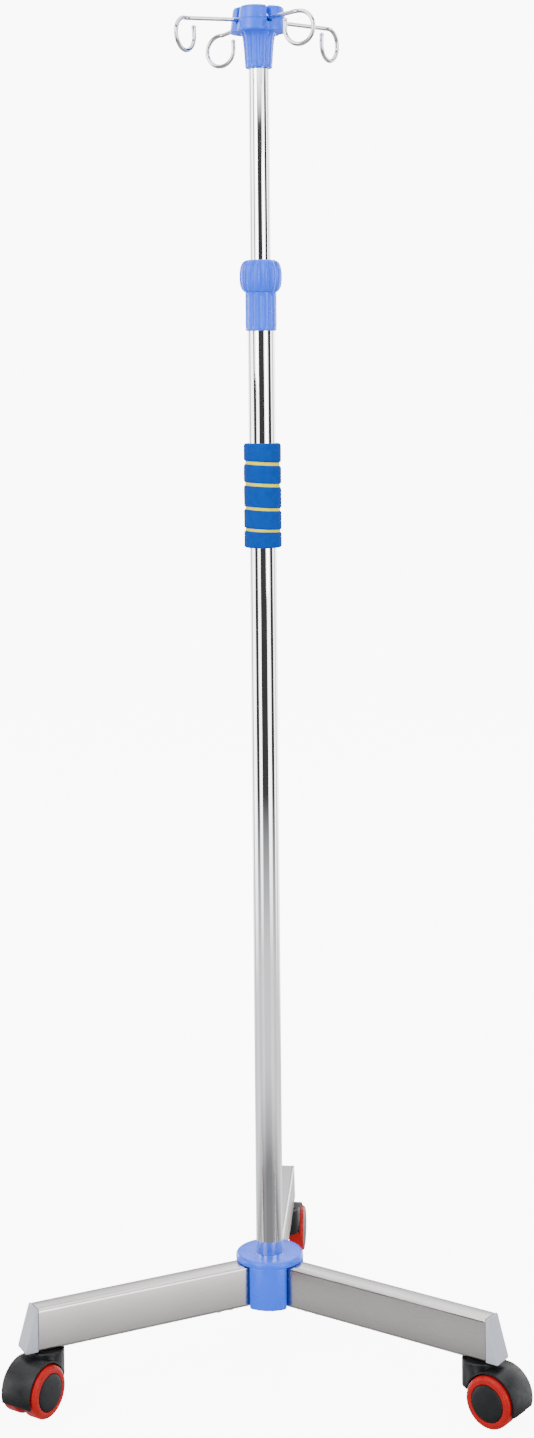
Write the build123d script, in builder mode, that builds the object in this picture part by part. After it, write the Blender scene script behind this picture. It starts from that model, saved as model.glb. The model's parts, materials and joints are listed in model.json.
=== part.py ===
from build123d import *
import os
from math import cos, pi, radians, sin, sqrt

# Mobile infusion stand: a three-leg base on hooded twin-wheel casters, a two-stage steel pole
# with a twist lock and a foam grip, and a plastic head with four wire hooks that fold up.
# Millimetres. The origin is on the pole's axis at floor level, +Z is up, the rear leg points to +Y.

os.makedirs("parts", exist_ok=True)

# ---- driving dimensions: casters ----
WHEEL_D = 45.0             # over the tyre
TYRE_T = 6.5               # tyre thickness, measured along the radius
TYRE_EDGE_R = 3.6          # rounding of the tyre's outer edge
TYRE_INNER_EDGE_R = 1.8    # rounding of its edge towards the middle web
WHEEL_OUT = 19.6           # outer face of a wheel from the caster's middle plane
WEB_HALF = 3.5             # half the hood's middle web
WHEEL_SIDE_GAP = 0.7       # between the web and each wheel
HUB_CAP_RISE = 0.9         # how far a hub cap's dome stands past the tyre
HUB_CAP_SINK = 0.4         # its edge inside the tyre's outer face
HUB_CAP_GAP = 0.1          # between its edge and the tyre
HUB_CAP_FLAT_R = 2.0
HUB_CAP_MID = (0.62, 0.72) # a point of its dome: shares of the core's radius and of its rise
CORE_INSET = 1.7           # core's outer face inside the tyre's
TYRE_SHOULDER = 0.3        # tyre's inner face outside the core's
WHEEL_BOSS_R = 7.0         # boss round the axle, at the web
WHEEL_DISH = 2.5           # depth of the core's dish beside the boss
WHEEL_DISH_R = 9.0         # inner radius of the dish's floor
WHEEL_RIM_T = 2.0          # rim of the core under the tyre
WHEEL_RIM_IN = 0.8         # rim's inner face outside the boss's
CASTER_TRAIL = 19.5        # from the swivel axis back to the axle
AXLE_D = 6.0
AXLE_INSET = 2.5           # axle's ends inside the core's outer faces
AXLE_CHAMFER = 0.5
AXLE_PLAY = 0.05           # radial running clearance of a wheel on its axle
HOOD_GAP = 1.1             # between the tyre and the fender
HOOD_WALL = 1.7
HOOD_HALF = 15.6           # half the hood's width
HOOD_EDGE_R = 1.2
HOUSING_R = 15.6           # stem housing of the hood
HOUSING_OVER_AXLE = 5.0    # lower edge of the stem housing above the axle
WEB_IN = 3.0               # web's front inside the stem housing
WEB_UNDER_TOP = 4.0        # web's top below the hood's
WEB_BACK = ((0.53, 0.84), (0.80, 0.61), (0.98, 0.15), (0.94, -0.27), (0.0, -0.42), (-0.96, -0.23))
FENDER_END = -18.0         # where the fender ends behind the wheel, degrees from level
STEM_D = 8.0
STEM_PLAY = 0.05
THRUST_WASHER_T = 0.9
THRUST_GAP = 0.1           # between the thrust washer and the hood
THRUST_WASHER_R = 11.5
CLIP_T = 0.9
CLIP_DEPTH = 0.8           # of the clip's groove in the stem
CLIP_ROOM = 0.15           # above and below the clip in the hood
CLIP_ROOM_R = 1.0          # round the stem in the clip's room
STEM_IN_HOOD = 8.5         # stem's foot below the hood's top
STEM_END_GAP = 0.3         # below the stem's foot
CLIP_UNDER_TOP = 5.9       # clip's groove below the hood's top
CLIP_PLAY = 0.05           # of the clip in that groove, each side
TRAIL_ANGLES = {"left": 241.0, "right": 326.0, "rear": 88.0}

# ---- driving dimensions: base ----
LEG_OVER_WHEEL = 7.0       # leg tube's underside above the top of the wheels
LEG_H = 38.0
LEG_W = 20.0
LEG_WALL = 1.5
LEG_CORNER = 3.0
LEG_FROM_POLE = 6.0        # inner end of a leg tube from the pole's surface
LEG_END = 233.0            # outer end of a leg tube from the pole's axis
SWIVEL_FROM_END = 11.0     # caster swivel axis inside the leg tube's outer end
LEG_ANGLES = {"left": 210.0, "right": 330.0, "rear": 90.0}
PLUG_PLAY = 0.1            # plastic plug inside the leg tube, each side
CAP_PLUG_L = 24.0          # how far an end cap reaches into its tube
CAP_NOSE = 14.0            # how far an end cap's foot stands out past its tube
CAP_BROW = 2.5             # how far its top does
CAP_CORNER_R = 2.0
CAP_RIM_R = 1.8
HUB_WALL = 19.0            # from the pole's surface to the hub's outer face
PILLAR_EDGE_R = 4.0
HUB_FLANGE_IN = 0.3        # flange's edge inside the pillars' outer face
HUB_FLANGE_EDGE_R = 2.5
HUB_SLOT_PLAY = 0.3        # leg tube in the hub's slot, each side
HUB_FLANGE_T = 6.0
HUB_TONGUE_L = 43.5        # tongue inside a leg tube, from the tube's inner end
HUB_FLOOR = 6.0
LEG_SCREW_D = 5.0
LEG_SCREW_L = 15.0
LEG_SCREW_HEAD_R = 4.5
LEG_SCREW_HEAD_H = 2.4
LEG_SCREWS_IN = (23.5, 35.5)   # screws from the leg tube's inner end
NUT_AF = 13.0              # M8 nut across its flats
NUT_H = 6.5
NUT_POCKET_PLAY = 0.1      # nut in its pocket, each side

# ---- driving dimensions: pole ----
LOWER_D = 25.0
LOWER_WALL = 1.0
LOWER_L = 922.3
UPPER_D = 19.0
UPPER_WALL = 1.0
UPPER_L = 960.0
TUBE_PLAY = 0.05           # radial play of sliding and turning fits on the pole
POLE_BOLT_D = 10.0
POLE_BOLT_AF = 16.0
BOLT_HEAD_H = 6.4
BOLT_HEAD_SUNK = 0.6       # bolt head above the hub's underside
POLE_WASHER_T = 2.0
POLE_WASHER_R = 10.0
POLE_PLUG_H = 22.0
BUSH_L = 25.0
BUSH_RING_T = 1.2
FOOT_PLUG_L = 14.0
FOOT_FLANGE_T = 3.0
GRIP_UP = 689.0            # grip's lower end above the lower tube's
GRIP_L = 98.0
GRIP_T = 5.1               # foam over the tube's surface
GRIP_SKIN = 1.4            # depth of the outer foam bands
GRIP_GROOVE = 2.2
GRIP_GROOVES_UP = (16.5, 36.5, 59.0, 79.0)   # groove middles above the grip's lower end

# ---- driving dimensions: twist lock ----
COLLAR_L = 36.0
COLLAR_WALL = 2.25         # collar's ribs over the lower tube
COLLAR_FLUTES = 10
COLLAR_FLUTE_DEPTH = 0.9
COLLAR_OVER_TUBE = 6.0     # collar's shoulder above the lower tube's end
NECK_WALL = 4.5            # neck's surface outside the upper tube
NECK_L = 16.0
NUT_L = 30.0
NUT_T = 10.5               # nut's widest ribs outside the upper tube
NUT_RIBS = 14
NUT_MOUTH = 0.4            # nut's bore round the upper tube, radial
CONE_LOW_WALL = 0.9        # taper's lower end outside the upper tube
CONE_TOP_WALL = 3.0        # its upper end
CONE_GAP = 0.15            # between the loosened collet and the taper
COLLET_SLIT = 1.6
COLLET_FLANGE_T = 2.5
COLLET_FLANGE_GAP = 0.1    # above and below the collet's flange
NUT_GAP = 0.3              # between the collar's shoulder and the nut

# ---- driving dimensions: head and hooks ----
MAST_OUT = 180.0           # from the nut's top to the head's skirt, as the stand is set
SKIRT_L = 33.0
SKIRT_WALL = 3.25          # skirt's lower end over the upper tube
SKIRT_FLARE = 3.25
SKIRT_RIBS = 10
SKIRT_RIB_DEPTHS = (0.7, 1.3)   # at its lower and upper ends
HEAD_ROOF = 2.0            # upper tube's end below the block
HEAD_RIM_OUT = 18.0        # block's rim outside the upper tube
HEAD_H = 24.0
HEAD_DRAFT = 8.0           # degrees
LOBE_R = 17.0
HEAD_EDGE_R = 3.0
HOOK_ANGLES = (-58.5, 31.5, 121.5, 211.5)
HOOK_WIRE_D = 4.0
HOOK_PIVOT_R = 14.0
HOOK_PIVOT_UP = 11.6       # pivots above the block's underside
HOOK_PIN_D = 3.0
HOOK_PIN_L = 12.0
HOOK_PIN_PLAY = 0.1
HOOK_SLOT_PLAY = 0.25      # eye in its slot, each side
HOOK_FLOOR_GAP = 1.3       # arm over the slot's floor at rest
CAP_SCREW_D = 6.0
CAP_SCREW_HEAD_R = 5.5
CAP_SCREW_SINK = 5.0       # depth of its counterbore
CAP_SCREW_HEAD_H = 4.0
GRUB_D = 5.0
GRUB_UP = 12.0             # grub screw above the skirt's lower end
HOOK_BEND_AT = 71.5        # where the arm bends towards the loop, from the pole's axis
HOOK_BEND_R = 12.0
HOOK_TURN = 31.0           # loop's plane against the arm, degrees
HOOK_LOOP_R = 15.0
HOOK_TIP = 7.5
HOOK_TIP_OVER = 0.6        # rounded end over the wire's diameter
HOOK_DROOP = 2.3           # degrees below level

# ---- derived sizes: casters ----
WHEEL_R = WHEEL_D / 2
CORE_R = WHEEL_R - TYRE_T
WHEEL_IN = WEB_HALF + WHEEL_SIDE_GAP
TYRE_IN = WHEEL_IN + TYRE_SHOULDER
CORE_OUT = WHEEL_OUT - CORE_INSET
LEG_UNDERSIDE = WHEEL_D + LEG_OVER_WHEEL
HOOD_TOP = LEG_UNDERSIDE - THRUST_WASHER_T - THRUST_GAP
HOUSING_LOW = WHEEL_R + HOUSING_OVER_AXLE
WELL_R = WHEEL_R + HOOD_GAP
FENDER_R = WELL_R + HOOD_WALL
CUT_REACH = 2.4 * FENDER_R
STEM_R = STEM_D / 2
STEM_LOW = HOOD_TOP - STEM_IN_HOOD
CLIP_Z = HOOD_TOP - CLIP_UNDER_TOP
CLIP_GROOVE_R = STEM_R - CLIP_DEPTH

# ---- derived sizes: pole and base ----
LOWER_R = LOWER_D / 2
LOWER_BORE = LOWER_R - LOWER_WALL
UPPER_R = UPPER_D / 2
UPPER_BORE = UPPER_R - UPPER_WALL
BUSH_R = LOWER_BORE - TUBE_PLAY
LEG_TOP = LEG_UNDERSIDE + LEG_H
LEG_MID = LEG_UNDERSIDE + LEG_H / 2
LEG_IN = LOWER_R + LEG_FROM_POLE
SWIVEL_R = LEG_END - SWIVEL_FROM_END
PLUG_W = LEG_W - 2 * (LEG_WALL + PLUG_PLAY)
PLUG_H = LEG_H - 2 * (LEG_WALL + PLUG_PLAY)
HUB_R = LOWER_R + HUB_WALL
HUB_SLOT_W = LEG_W + 2 * HUB_SLOT_PLAY
LEG_SCREW_RADII = [LEG_IN + inside for inside in LEG_SCREWS_IN]
NUT_SEAT = LEG_MID - 2.0
HUB_RECESS = LEG_UNDERSIDE + BOLT_HEAD_H + POLE_WASHER_T + BOLT_HEAD_SUNK
LOWER_LOW = HUB_RECESS + HUB_FLOOR
LOWER_TOP = LOWER_LOW + LOWER_L
GRIP_LOW = LOWER_LOW + GRIP_UP
GRIP_R = LOWER_R + GRIP_T
GRIP_CORE_R = GRIP_R - GRIP_SKIN

# ---- derived sizes: twist lock ----
COLLAR_TOP = LOWER_TOP + COLLAR_OVER_TUBE
LOCK_LOW = COLLAR_TOP - COLLAR_L
NECK_R = UPPER_R + NECK_WALL
NECK_TOP = COLLAR_TOP + NECK_L
NUT_LOW = COLLAR_TOP + NUT_GAP
NUT_R = UPPER_R + NUT_T
CONE_LOW_R = UPPER_R + CONE_LOW_WALL
CONE_TOP_R = UPPER_R + CONE_TOP_WALL
CONE_LOW = COLLAR_TOP + 1.0
COLLET_LOW = COLLAR_TOP + 3.0
COLLET_BORE = UPPER_R + TUBE_PLAY
CONE_SHARE = (COLLET_LOW - CONE_LOW) / (NECK_TOP - CONE_LOW)
COLLET_LOW_R = CONE_LOW_R + (CONE_TOP_R - CONE_LOW_R) * CONE_SHARE - CONE_GAP
COLLET_FLANGE = NECK_TOP + COLLET_FLANGE_GAP
FLANGE_SEAT = COLLET_FLANGE + COLLET_FLANGE_T + COLLET_FLANGE_GAP

# ---- derived sizes: head and hooks ----
HEAD_LOW = NUT_LOW + NUT_L + MAST_OUT
SKIRT_LOW_R = UPPER_R + SKIRT_WALL
SKIRT_TOP_R = SKIRT_LOW_R + SKIRT_FLARE
SKIRT_TOP = HEAD_LOW + SKIRT_L
HEAD_RIM_R = UPPER_R + HEAD_RIM_OUT
HEAD_TOP = SKIRT_TOP + HEAD_H
UPPER_TOP = SKIRT_TOP - HEAD_ROOF
UPPER_LOW = UPPER_TOP - UPPER_L
BUSH_LOW = UPPER_LOW + 0.2
FOOT_FLANGE_R = LOWER_BORE - 0.7
HOOK_R = HOOK_WIRE_D / 2
PIN_R = HOOK_PIN_D / 2
EYE_WIRE_R = HOOK_R + 0.15
EYE_R = PIN_R + HOOK_PIN_PLAY + EYE_WIRE_R
EYE_POCKET = EYE_R + EYE_WIRE_R + 0.4
HOOK_SLOT_W = 2 * (EYE_WIRE_R + HOOK_SLOT_PLAY)
SLOT_IN = HOOK_PIVOT_R - EYE_R - EYE_WIRE_R - 0.2
PIVOT_Z = SKIRT_TOP + HOOK_PIVOT_UP
CAP_SCREW_R = CAP_SCREW_D / 2
CAP_SCREW_LOW = UPPER_TOP + 1.5
GRUB_R = GRUB_D / 2
GRUB_Z = HEAD_LOW + GRUB_UP
FLUTE_PHASE = radians(-97.0)


def radial(angle):
    """Unit vector from the pole's axis at an angle, level."""
    return Vector(cos(radians(angle)), sin(radians(angle)), 0)


def tangent(angle):
    """Unit vector across a leg or an arm at an angle, level."""
    return Vector(-sin(radians(angle)), cos(radians(angle)), 0)


def turned(angle, z=0.0):
    """Level plane on the pole's axis with its x along an angle."""
    return Plane(origin=(0, 0, z), x_dir=radial(angle), z_dir=(0, 0, 1))


def upright(angle, origin=Vector(0, 0, 0)):
    """Upright plane: its x runs along an angle, its y is up, its normal is level."""
    return Plane(origin=origin, x_dir=radial(angle), z_dir=-tangent(angle))


def across(angle, reach, z):
    """Upright plane square to a leg, at a distance from the pole's axis; its y is up."""
    return Plane(origin=radial(angle) * reach + Vector(0, 0, z), x_dir=tangent(angle), z_dir=radial(angle))


def swivel_point(leg):
    """Where a leg's caster swivel axis meets the floor."""
    return radial(LEG_ANGLES[leg]) * SWIVEL_R


def from_axis(shape):
    """Distance of a shape's middle from the pole's axis."""
    middle = shape.center()
    return sqrt(middle.X ** 2 + middle.Y ** 2)


def fluted_points(radius, depth, count, phase):
    """Points of a closed wave around a circle: ribs at the radius, valleys lower by the depth."""
    step = 2 * pi / (count * 4)
    points = []
    for k in range(count * 4):
        wave = radius - depth / 2 + depth / 2 * cos(k * pi / 2)
        points.append((wave * cos(k * step + phase), wave * sin(k * step + phase)))
    return points


# =====================================================================================
# base: hub, pole socket, legs
# =====================================================================================

with BuildPart() as hub:
    with BuildSketch(Plane.XY.offset(LEG_UNDERSIDE)):
        Circle(HUB_R)
        for angle in LEG_ANGLES.values():
            with Locations(turned(angle).location):
                with Locations((LEG_IN - 0.5 + HUB_R / 2, 0)):
                    Rectangle(HUB_R, HUB_SLOT_W, mode=Mode.SUBTRACT)
    extrude(amount=LEG_H)
    pillar_edges = hub.edges().filter_by(Axis.Z).filter_by(lambda e: from_axis(e) > HUB_R - 1.0)
    fillet(pillar_edges, radius=PILLAR_EDGE_R)
    with BuildSketch(Plane.XY.offset(LEG_TOP)):
        Circle(HUB_R - HUB_FLANGE_IN)
    extrude(amount=HUB_FLANGE_T)
    fillet(hub.edges().filter_by(GeomType.CIRCLE).group_by(Axis.Z)[-1], radius=HUB_FLANGE_EDGE_R)
    for angle in LEG_ANGLES.values():
        with BuildSketch(across(angle, LEG_IN - 2.0, LEG_MID)):
            RectangleRounded(PLUG_W, PLUG_H, LEG_CORNER - LEG_WALL)
        extrude(amount=HUB_TONGUE_L + 2.0)
    with BuildSketch(Plane.XY.offset(LOWER_LOW)):
        Circle(LOWER_R + TUBE_PLAY)
    extrude(amount=LEG_H + HUB_FLANGE_T, mode=Mode.SUBTRACT)
    with BuildSketch(Plane.XY.offset(LEG_UNDERSIDE)):
        Circle(POLE_WASHER_R + 1.0)
    extrude(amount=HUB_RECESS - LEG_UNDERSIDE, mode=Mode.SUBTRACT)
    with BuildSketch(Plane.XY.offset(HUB_RECESS)):
        Circle(POLE_BOLT_D / 2 + 0.3)
    extrude(amount=HUB_FLOOR, mode=Mode.SUBTRACT)
    for angle in LEG_ANGLES.values():
        for reach in LEG_SCREW_RADII:
            with BuildSketch(turned(angle, LEG_UNDERSIDE)):
                with Locations((reach, 0)):
                    Circle(LEG_SCREW_D / 2)
            extrude(amount=LEG_SCREW_L + 1.0, mode=Mode.SUBTRACT)
hub.part.label = "hub"
export_step(hub.part, "parts/hub.step")

with BuildPart() as pole_plug:
    with BuildSketch(Plane.XY.offset(LOWER_LOW)):
        Circle(LOWER_BORE)
        Circle(POLE_BOLT_D / 2, mode=Mode.SUBTRACT)
    extrude(amount=POLE_PLUG_H)
    plug_rims = pole_plug.edges().filter_by(GeomType.CIRCLE).group_by(Axis.Z)[-1]
    chamfer(plug_rims.sort_by(SortBy.RADIUS)[-1], length=1.0)
pole_plug.part.label = "pole_plug"
export_step(pole_plug.part, "parts/pole_plug.step")

with BuildPart() as pole_washer:
    with BuildSketch(Plane.XY.offset(HUB_RECESS - POLE_WASHER_T)):
        Circle(POLE_WASHER_R)
        Circle(POLE_BOLT_D / 2 + 0.3, mode=Mode.SUBTRACT)
    extrude(amount=POLE_WASHER_T)
pole_washer.part.label = "pole_washer"
export_step(pole_washer.part, "parts/pole_washer.step")

with BuildPart() as pole_bolt:
    with BuildSketch(Plane.XY.offset(HUB_RECESS - POLE_WASHER_T)):
        RegularPolygon(radius=POLE_BOLT_AF / 2, side_count=6, major_radius=False)
    extrude(amount=-BOLT_HEAD_H)
    chamfer(pole_bolt.edges().group_by(Axis.Z)[0], length=0.6)
    with BuildSketch(Plane.XY.offset(HUB_RECESS - POLE_WASHER_T)):
        Circle(POLE_BOLT_D / 2)
    extrude(amount=POLE_WASHER_T + HUB_FLOOR + POLE_PLUG_H - 2.0)
pole_bolt.part.label = "pole_bolt"
export_step(pole_bolt.part, "parts/pole_bolt.step")

with BuildPart() as lower_tube:
    with BuildSketch(Plane.XY.offset(LOWER_LOW)):
        Circle(LOWER_R)
        Circle(LOWER_BORE, mode=Mode.SUBTRACT)
    extrude(amount=LOWER_TOP - LOWER_LOW)
lower_tube.part.label = "lower_tube"
export_step(lower_tube.part, "parts/lower_tube.step")

for leg, angle in LEG_ANGLES.items():
    with BuildPart() as leg_tube:
        with BuildSketch(across(angle, LEG_IN, LEG_MID)):
            RectangleRounded(LEG_W, LEG_H, LEG_CORNER)
            RectangleRounded(LEG_W - 2 * LEG_WALL, LEG_H - 2 * LEG_WALL, LEG_CORNER - LEG_WALL,
                             mode=Mode.SUBTRACT)
        extrude(amount=LEG_END - LEG_IN)
        with BuildSketch(turned(angle, LEG_UNDERSIDE - 1.0)):
            with Locations((SWIVEL_R, 0)):
                Circle(STEM_R + 0.3)
            for reach in LEG_SCREW_RADII:
                with Locations((reach, 0)):
                    Circle(LEG_SCREW_D / 2 + 0.2)
        extrude(amount=LEG_WALL + 2.0, mode=Mode.SUBTRACT)
    leg_tube.part.label = f"leg_tube_{leg}"
    export_step(leg_tube.part, f"parts/leg_tube_{leg}.step")

with BuildPart() as leg_screws:
    for angle in LEG_ANGLES.values():
        for reach in LEG_SCREW_RADII:
            with BuildSketch(turned(angle, LEG_UNDERSIDE)):
                with Locations((reach, 0)):
                    Circle(LEG_SCREW_D / 2)
            extrude(amount=LEG_SCREW_L)
            with BuildSketch(turned(angle, LEG_UNDERSIDE)):
                with Locations((reach, 0)):
                    Circle(LEG_SCREW_HEAD_R)
            extrude(amount=-LEG_SCREW_HEAD_H, taper=18)
            with BuildSketch(turned(angle, LEG_UNDERSIDE - LEG_SCREW_HEAD_H)):
                with Locations((reach, 0)):
                    RegularPolygon(radius=1.5, side_count=6, major_radius=False)
            extrude(amount=1.5, mode=Mode.SUBTRACT)
leg_screws.part.label = "leg_screws"
export_step(leg_screws.part, "parts/leg_screws.step")

for leg, angle in LEG_ANGLES.items():
    with BuildPart() as leg_end_cap:
        with BuildSketch(upright(angle)):
            with BuildLine():
                Polyline(
                    (LEG_END, LEG_TOP),
                    (LEG_END + CAP_BROW, LEG_TOP),
                    (LEG_END + CAP_NOSE, LEG_UNDERSIDE),
                    (LEG_END, LEG_UNDERSIDE),
                    close=True,
                )
            make_face()
            nose_corners = vertices().filter_by(lambda v: v.X > LEG_END + 1.0)
            fillet(nose_corners, radius=CAP_CORNER_R)
        extrude(amount=LEG_W / 2, both=True)
        rims = leg_end_cap.faces().filter_by(lambda f: abs(f.normal_at().dot(tangent(angle))) > 0.99)
        rim_edges = rims.edges().filter_by(lambda e: e.center().dot(radial(angle)) > LEG_END + 0.4)
        fillet(rim_edges, radius=CAP_RIM_R)
        with BuildSketch(across(angle, LEG_END - CAP_PLUG_L, LEG_MID)):
            RectangleRounded(PLUG_W, PLUG_H, LEG_CORNER - LEG_WALL)
        extrude(amount=CAP_PLUG_L)
        with BuildSketch(turned(angle, LEG_UNDERSIDE)):
            with Locations((SWIVEL_R, 0)):
                Circle(STEM_R + 0.1)
        extrude(amount=LEG_H - LEG_WALL - 3.0, mode=Mode.SUBTRACT)
        with BuildSketch(turned(angle, NUT_SEAT)):
            with Locations((SWIVEL_R - CAP_PLUG_L / 2 + NUT_AF / 2 + 1.1, 0)):
                Rectangle(CAP_PLUG_L, NUT_AF + 2 * NUT_POCKET_PLAY)
        extrude(amount=NUT_H + 0.5, mode=Mode.SUBTRACT)
    leg_end_cap.part.label = f"leg_end_cap_{leg}"
    export_step(leg_end_cap.part, f"parts/leg_end_cap_{leg}.step")

# =====================================================================================
# casters
# =====================================================================================

with BuildPart() as caster_nuts:
    for angle in LEG_ANGLES.values():
        with BuildSketch(turned(angle, NUT_SEAT)):
            with Locations((SWIVEL_R, 0)):
                RegularPolygon(radius=NUT_AF / 2, side_count=6, major_radius=False)
                Circle(STEM_R, mode=Mode.SUBTRACT)
        extrude(amount=NUT_H)
caster_nuts.part.label = "caster_nuts"
export_step(caster_nuts.part, "parts/caster_nuts.step")

with BuildPart() as caster_stems:
    for angle in LEG_ANGLES.values():
        with BuildSketch(upright(angle, radial(angle) * SWIVEL_R)):
            with BuildLine():
                Polyline(
                    (0, STEM_LOW),
                    (STEM_R - 0.6, STEM_LOW),
                    (STEM_R, STEM_LOW + 0.6),
                    (STEM_R, CLIP_Z - CLIP_PLAY),
                    (CLIP_GROOVE_R, CLIP_Z - CLIP_PLAY),
                    (CLIP_GROOVE_R, CLIP_Z + CLIP_T + CLIP_PLAY),
                    (STEM_R, CLIP_Z + CLIP_T + CLIP_PLAY),
                    (STEM_R, NUT_SEAT + NUT_H + 2.5),
                    (STEM_R - 1.0, NUT_SEAT + NUT_H + 3.5),
                    (0, NUT_SEAT + NUT_H + 3.5),
                    close=True,
                )
            make_face()
        revolve(axis=Axis(radial(angle) * SWIVEL_R, (0, 0, 1)))
caster_stems.part.label = "caster_stems"
export_step(caster_stems.part, "parts/caster_stems.step")

with BuildPart() as stem_clips:
    for angle in LEG_ANGLES.values():
        with BuildSketch(turned(angle, CLIP_Z)):
            with Locations((SWIVEL_R, 0)):
                Circle(STEM_R + 0.7)
                Circle(CLIP_GROOVE_R, mode=Mode.SUBTRACT)
            with Locations((SWIVEL_R + STEM_R, 0)):
                Rectangle(2 * STEM_R, 2.0, mode=Mode.SUBTRACT)
        extrude(amount=CLIP_T)
stem_clips.part.label = "stem_clips"
export_step(stem_clips.part, "parts/stem_clips.step")

with BuildPart() as caster_washers:
    for angle in LEG_ANGLES.values():
        with BuildSketch(turned(angle, HOOD_TOP + THRUST_GAP)):
            with Locations((SWIVEL_R, 0)):
                Circle(THRUST_WASHER_R)
                Circle(STEM_R + 0.1, mode=Mode.SUBTRACT)
        extrude(amount=THRUST_WASHER_T)
caster_washers.part.label = "caster_washers"
export_step(caster_washers.part, "parts/caster_washers.step")

for leg, trail in TRAIL_ANGLES.items():
    stand = swivel_point(leg)
    axle_point = stand + radial(trail) * CASTER_TRAIL + Vector(0, 0, WHEEL_R)
    side_plane = upright(trail, stand)
    axle_plane = Plane(origin=axle_point, x_dir=radial(trail), z_dir=(0, 0, 1))
    axle_axis = Axis(axle_point, tangent(trail))

    with BuildPart() as caster_hood:
        with BuildSketch(Plane(origin=stand + Vector(0, 0, HOUSING_LOW), z_dir=(0, 0, 1))):
            Circle(HOUSING_R)
        extrude(amount=HOOD_TOP - HOUSING_LOW)
        fillet(caster_hood.edges().group_by(Axis.Z)[-1], radius=HOOD_EDGE_R)
        with BuildSketch(side_plane):
            with Locations((CASTER_TRAIL, WHEEL_R)):
                Circle(FENDER_R)
            with BuildLine():
                Polyline(
                    (CASTER_TRAIL, WHEEL_R),
                    (
                        CASTER_TRAIL + CUT_REACH * cos(radians(FENDER_END)),
                        WHEEL_R + CUT_REACH * sin(radians(FENDER_END)),
                    ),
                    (CASTER_TRAIL + CUT_REACH, -CUT_REACH),
                    (-CUT_REACH, -CUT_REACH),
                    (-CUT_REACH, HOUSING_LOW),
                    (CASTER_TRAIL - WELL_R, HOUSING_LOW),
                    close=True,
                )
            make_face(mode=Mode.SUBTRACT)
        extrude(amount=HOOD_HALF, both=True)
        with BuildSketch(side_plane):
            with Locations((CASTER_TRAIL, WHEEL_R)):
                Circle(WELL_R)
        extrude(amount=HOOD_HALF + 5, both=True, mode=Mode.SUBTRACT)
        with BuildSketch(side_plane):
            with BuildLine():
                Polyline(
                    (WEB_IN - HOUSING_R, HOUSING_LOW),
                    (WEB_IN - HOUSING_R, HOOD_TOP - WEB_UNDER_TOP),
                    (CASTER_TRAIL, HOOD_TOP - WEB_UNDER_TOP),
                    *((CASTER_TRAIL + WELL_R * back, WHEEL_R + WELL_R * up) for back, up in WEB_BACK),
                    close=True,
                )
            make_face()
        extrude(amount=WEB_HALF, both=True)
        with BuildSketch(side_plane):
            with Locations((CASTER_TRAIL, WHEEL_R)):
                Circle(AXLE_D / 2)
        extrude(amount=WEB_HALF + 1, both=True, mode=Mode.SUBTRACT)
        with BuildSketch(Plane(origin=stand + Vector(0, 0, STEM_LOW - STEM_END_GAP), z_dir=(0, 0, 1))):
            Circle(STEM_R + STEM_PLAY)
        extrude(amount=HOOD_TOP - STEM_LOW + 1, mode=Mode.SUBTRACT)
        with BuildSketch(Plane(origin=stand + Vector(0, 0, CLIP_Z - CLIP_ROOM), z_dir=(0, 0, 1))):
            Circle(STEM_R + CLIP_ROOM_R)
        extrude(amount=CLIP_T + 2 * CLIP_ROOM, mode=Mode.SUBTRACT)
    caster_hood.part.label = f"caster_hood_{leg}"
    export_step(caster_hood.part, f"parts/caster_hood_{leg}.step")

    with BuildPart() as axle:
        with BuildSketch(Plane(origin=axle_point, z_dir=tangent(trail))):
            Circle(AXLE_D / 2)
        extrude(amount=CORE_OUT - AXLE_INSET, both=True)
        chamfer(axle.edges(), length=AXLE_CHAMFER)
    axle.part.label = f"axle_{leg}"
    export_step(axle.part, f"parts/axle_{leg}.step")

    for name, side in (("a", 1), ("b", -1)):
        with BuildPart() as wheel_core:
            with BuildSketch(axle_plane):
                with BuildLine():
                    Polyline(
                        (AXLE_D / 2 + AXLE_PLAY, side * WHEEL_IN),
                        (WHEEL_BOSS_R, side * WHEEL_IN),
                        (WHEEL_DISH_R, side * (WHEEL_IN + WHEEL_DISH)),
                        (CORE_R - WHEEL_RIM_T, side * (WHEEL_IN + WHEEL_DISH)),
                        (CORE_R - WHEEL_RIM_T / 2, side * (WHEEL_IN + WHEEL_RIM_IN)),
                        (CORE_R, side * (WHEEL_IN + WHEEL_RIM_IN)),
                        (CORE_R, side * CORE_OUT),
                        (AXLE_D / 2 + AXLE_PLAY, side * CORE_OUT),
                        close=True,
                    )
                make_face()
            revolve(axis=axle_axis)
        wheel_core.part.label = f"wheel_core_{leg}_{name}"
        export_step(wheel_core.part, f"parts/wheel_core_{leg}_{name}.step")

        with BuildPart() as tyre:
            with BuildSketch(axle_plane):
                with BuildLine():
                    Polyline(
                        (CORE_R, side * TYRE_IN),
                        (WHEEL_R, side * TYRE_IN),
                        (WHEEL_R, side * WHEEL_OUT),
                        (CORE_R, side * WHEEL_OUT),
                        close=True,
                    )
                make_face()
            revolve(axis=axle_axis)
            tread_edges = tyre.edges().filter_by(GeomType.CIRCLE).group_by(SortBy.RADIUS)[-1]
            outwards = [side * (e.arc_center - axle_point).dot(tangent(trail)) for e in tread_edges]
            fillet(tread_edges[outwards.index(max(outwards))], radius=TYRE_EDGE_R)
            tread_edges = tyre.edges().filter_by(GeomType.CIRCLE).group_by(SortBy.RADIUS)[-1]
            outwards = [side * (e.arc_center - axle_point).dot(tangent(trail)) for e in tread_edges]
            fillet(tread_edges[outwards.index(min(outwards))], radius=TYRE_INNER_EDGE_R)
        tyre.part.label = f"tyre_{leg}_{name}"
        export_step(tyre.part, f"parts/tyre_{leg}_{name}.step")

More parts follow.
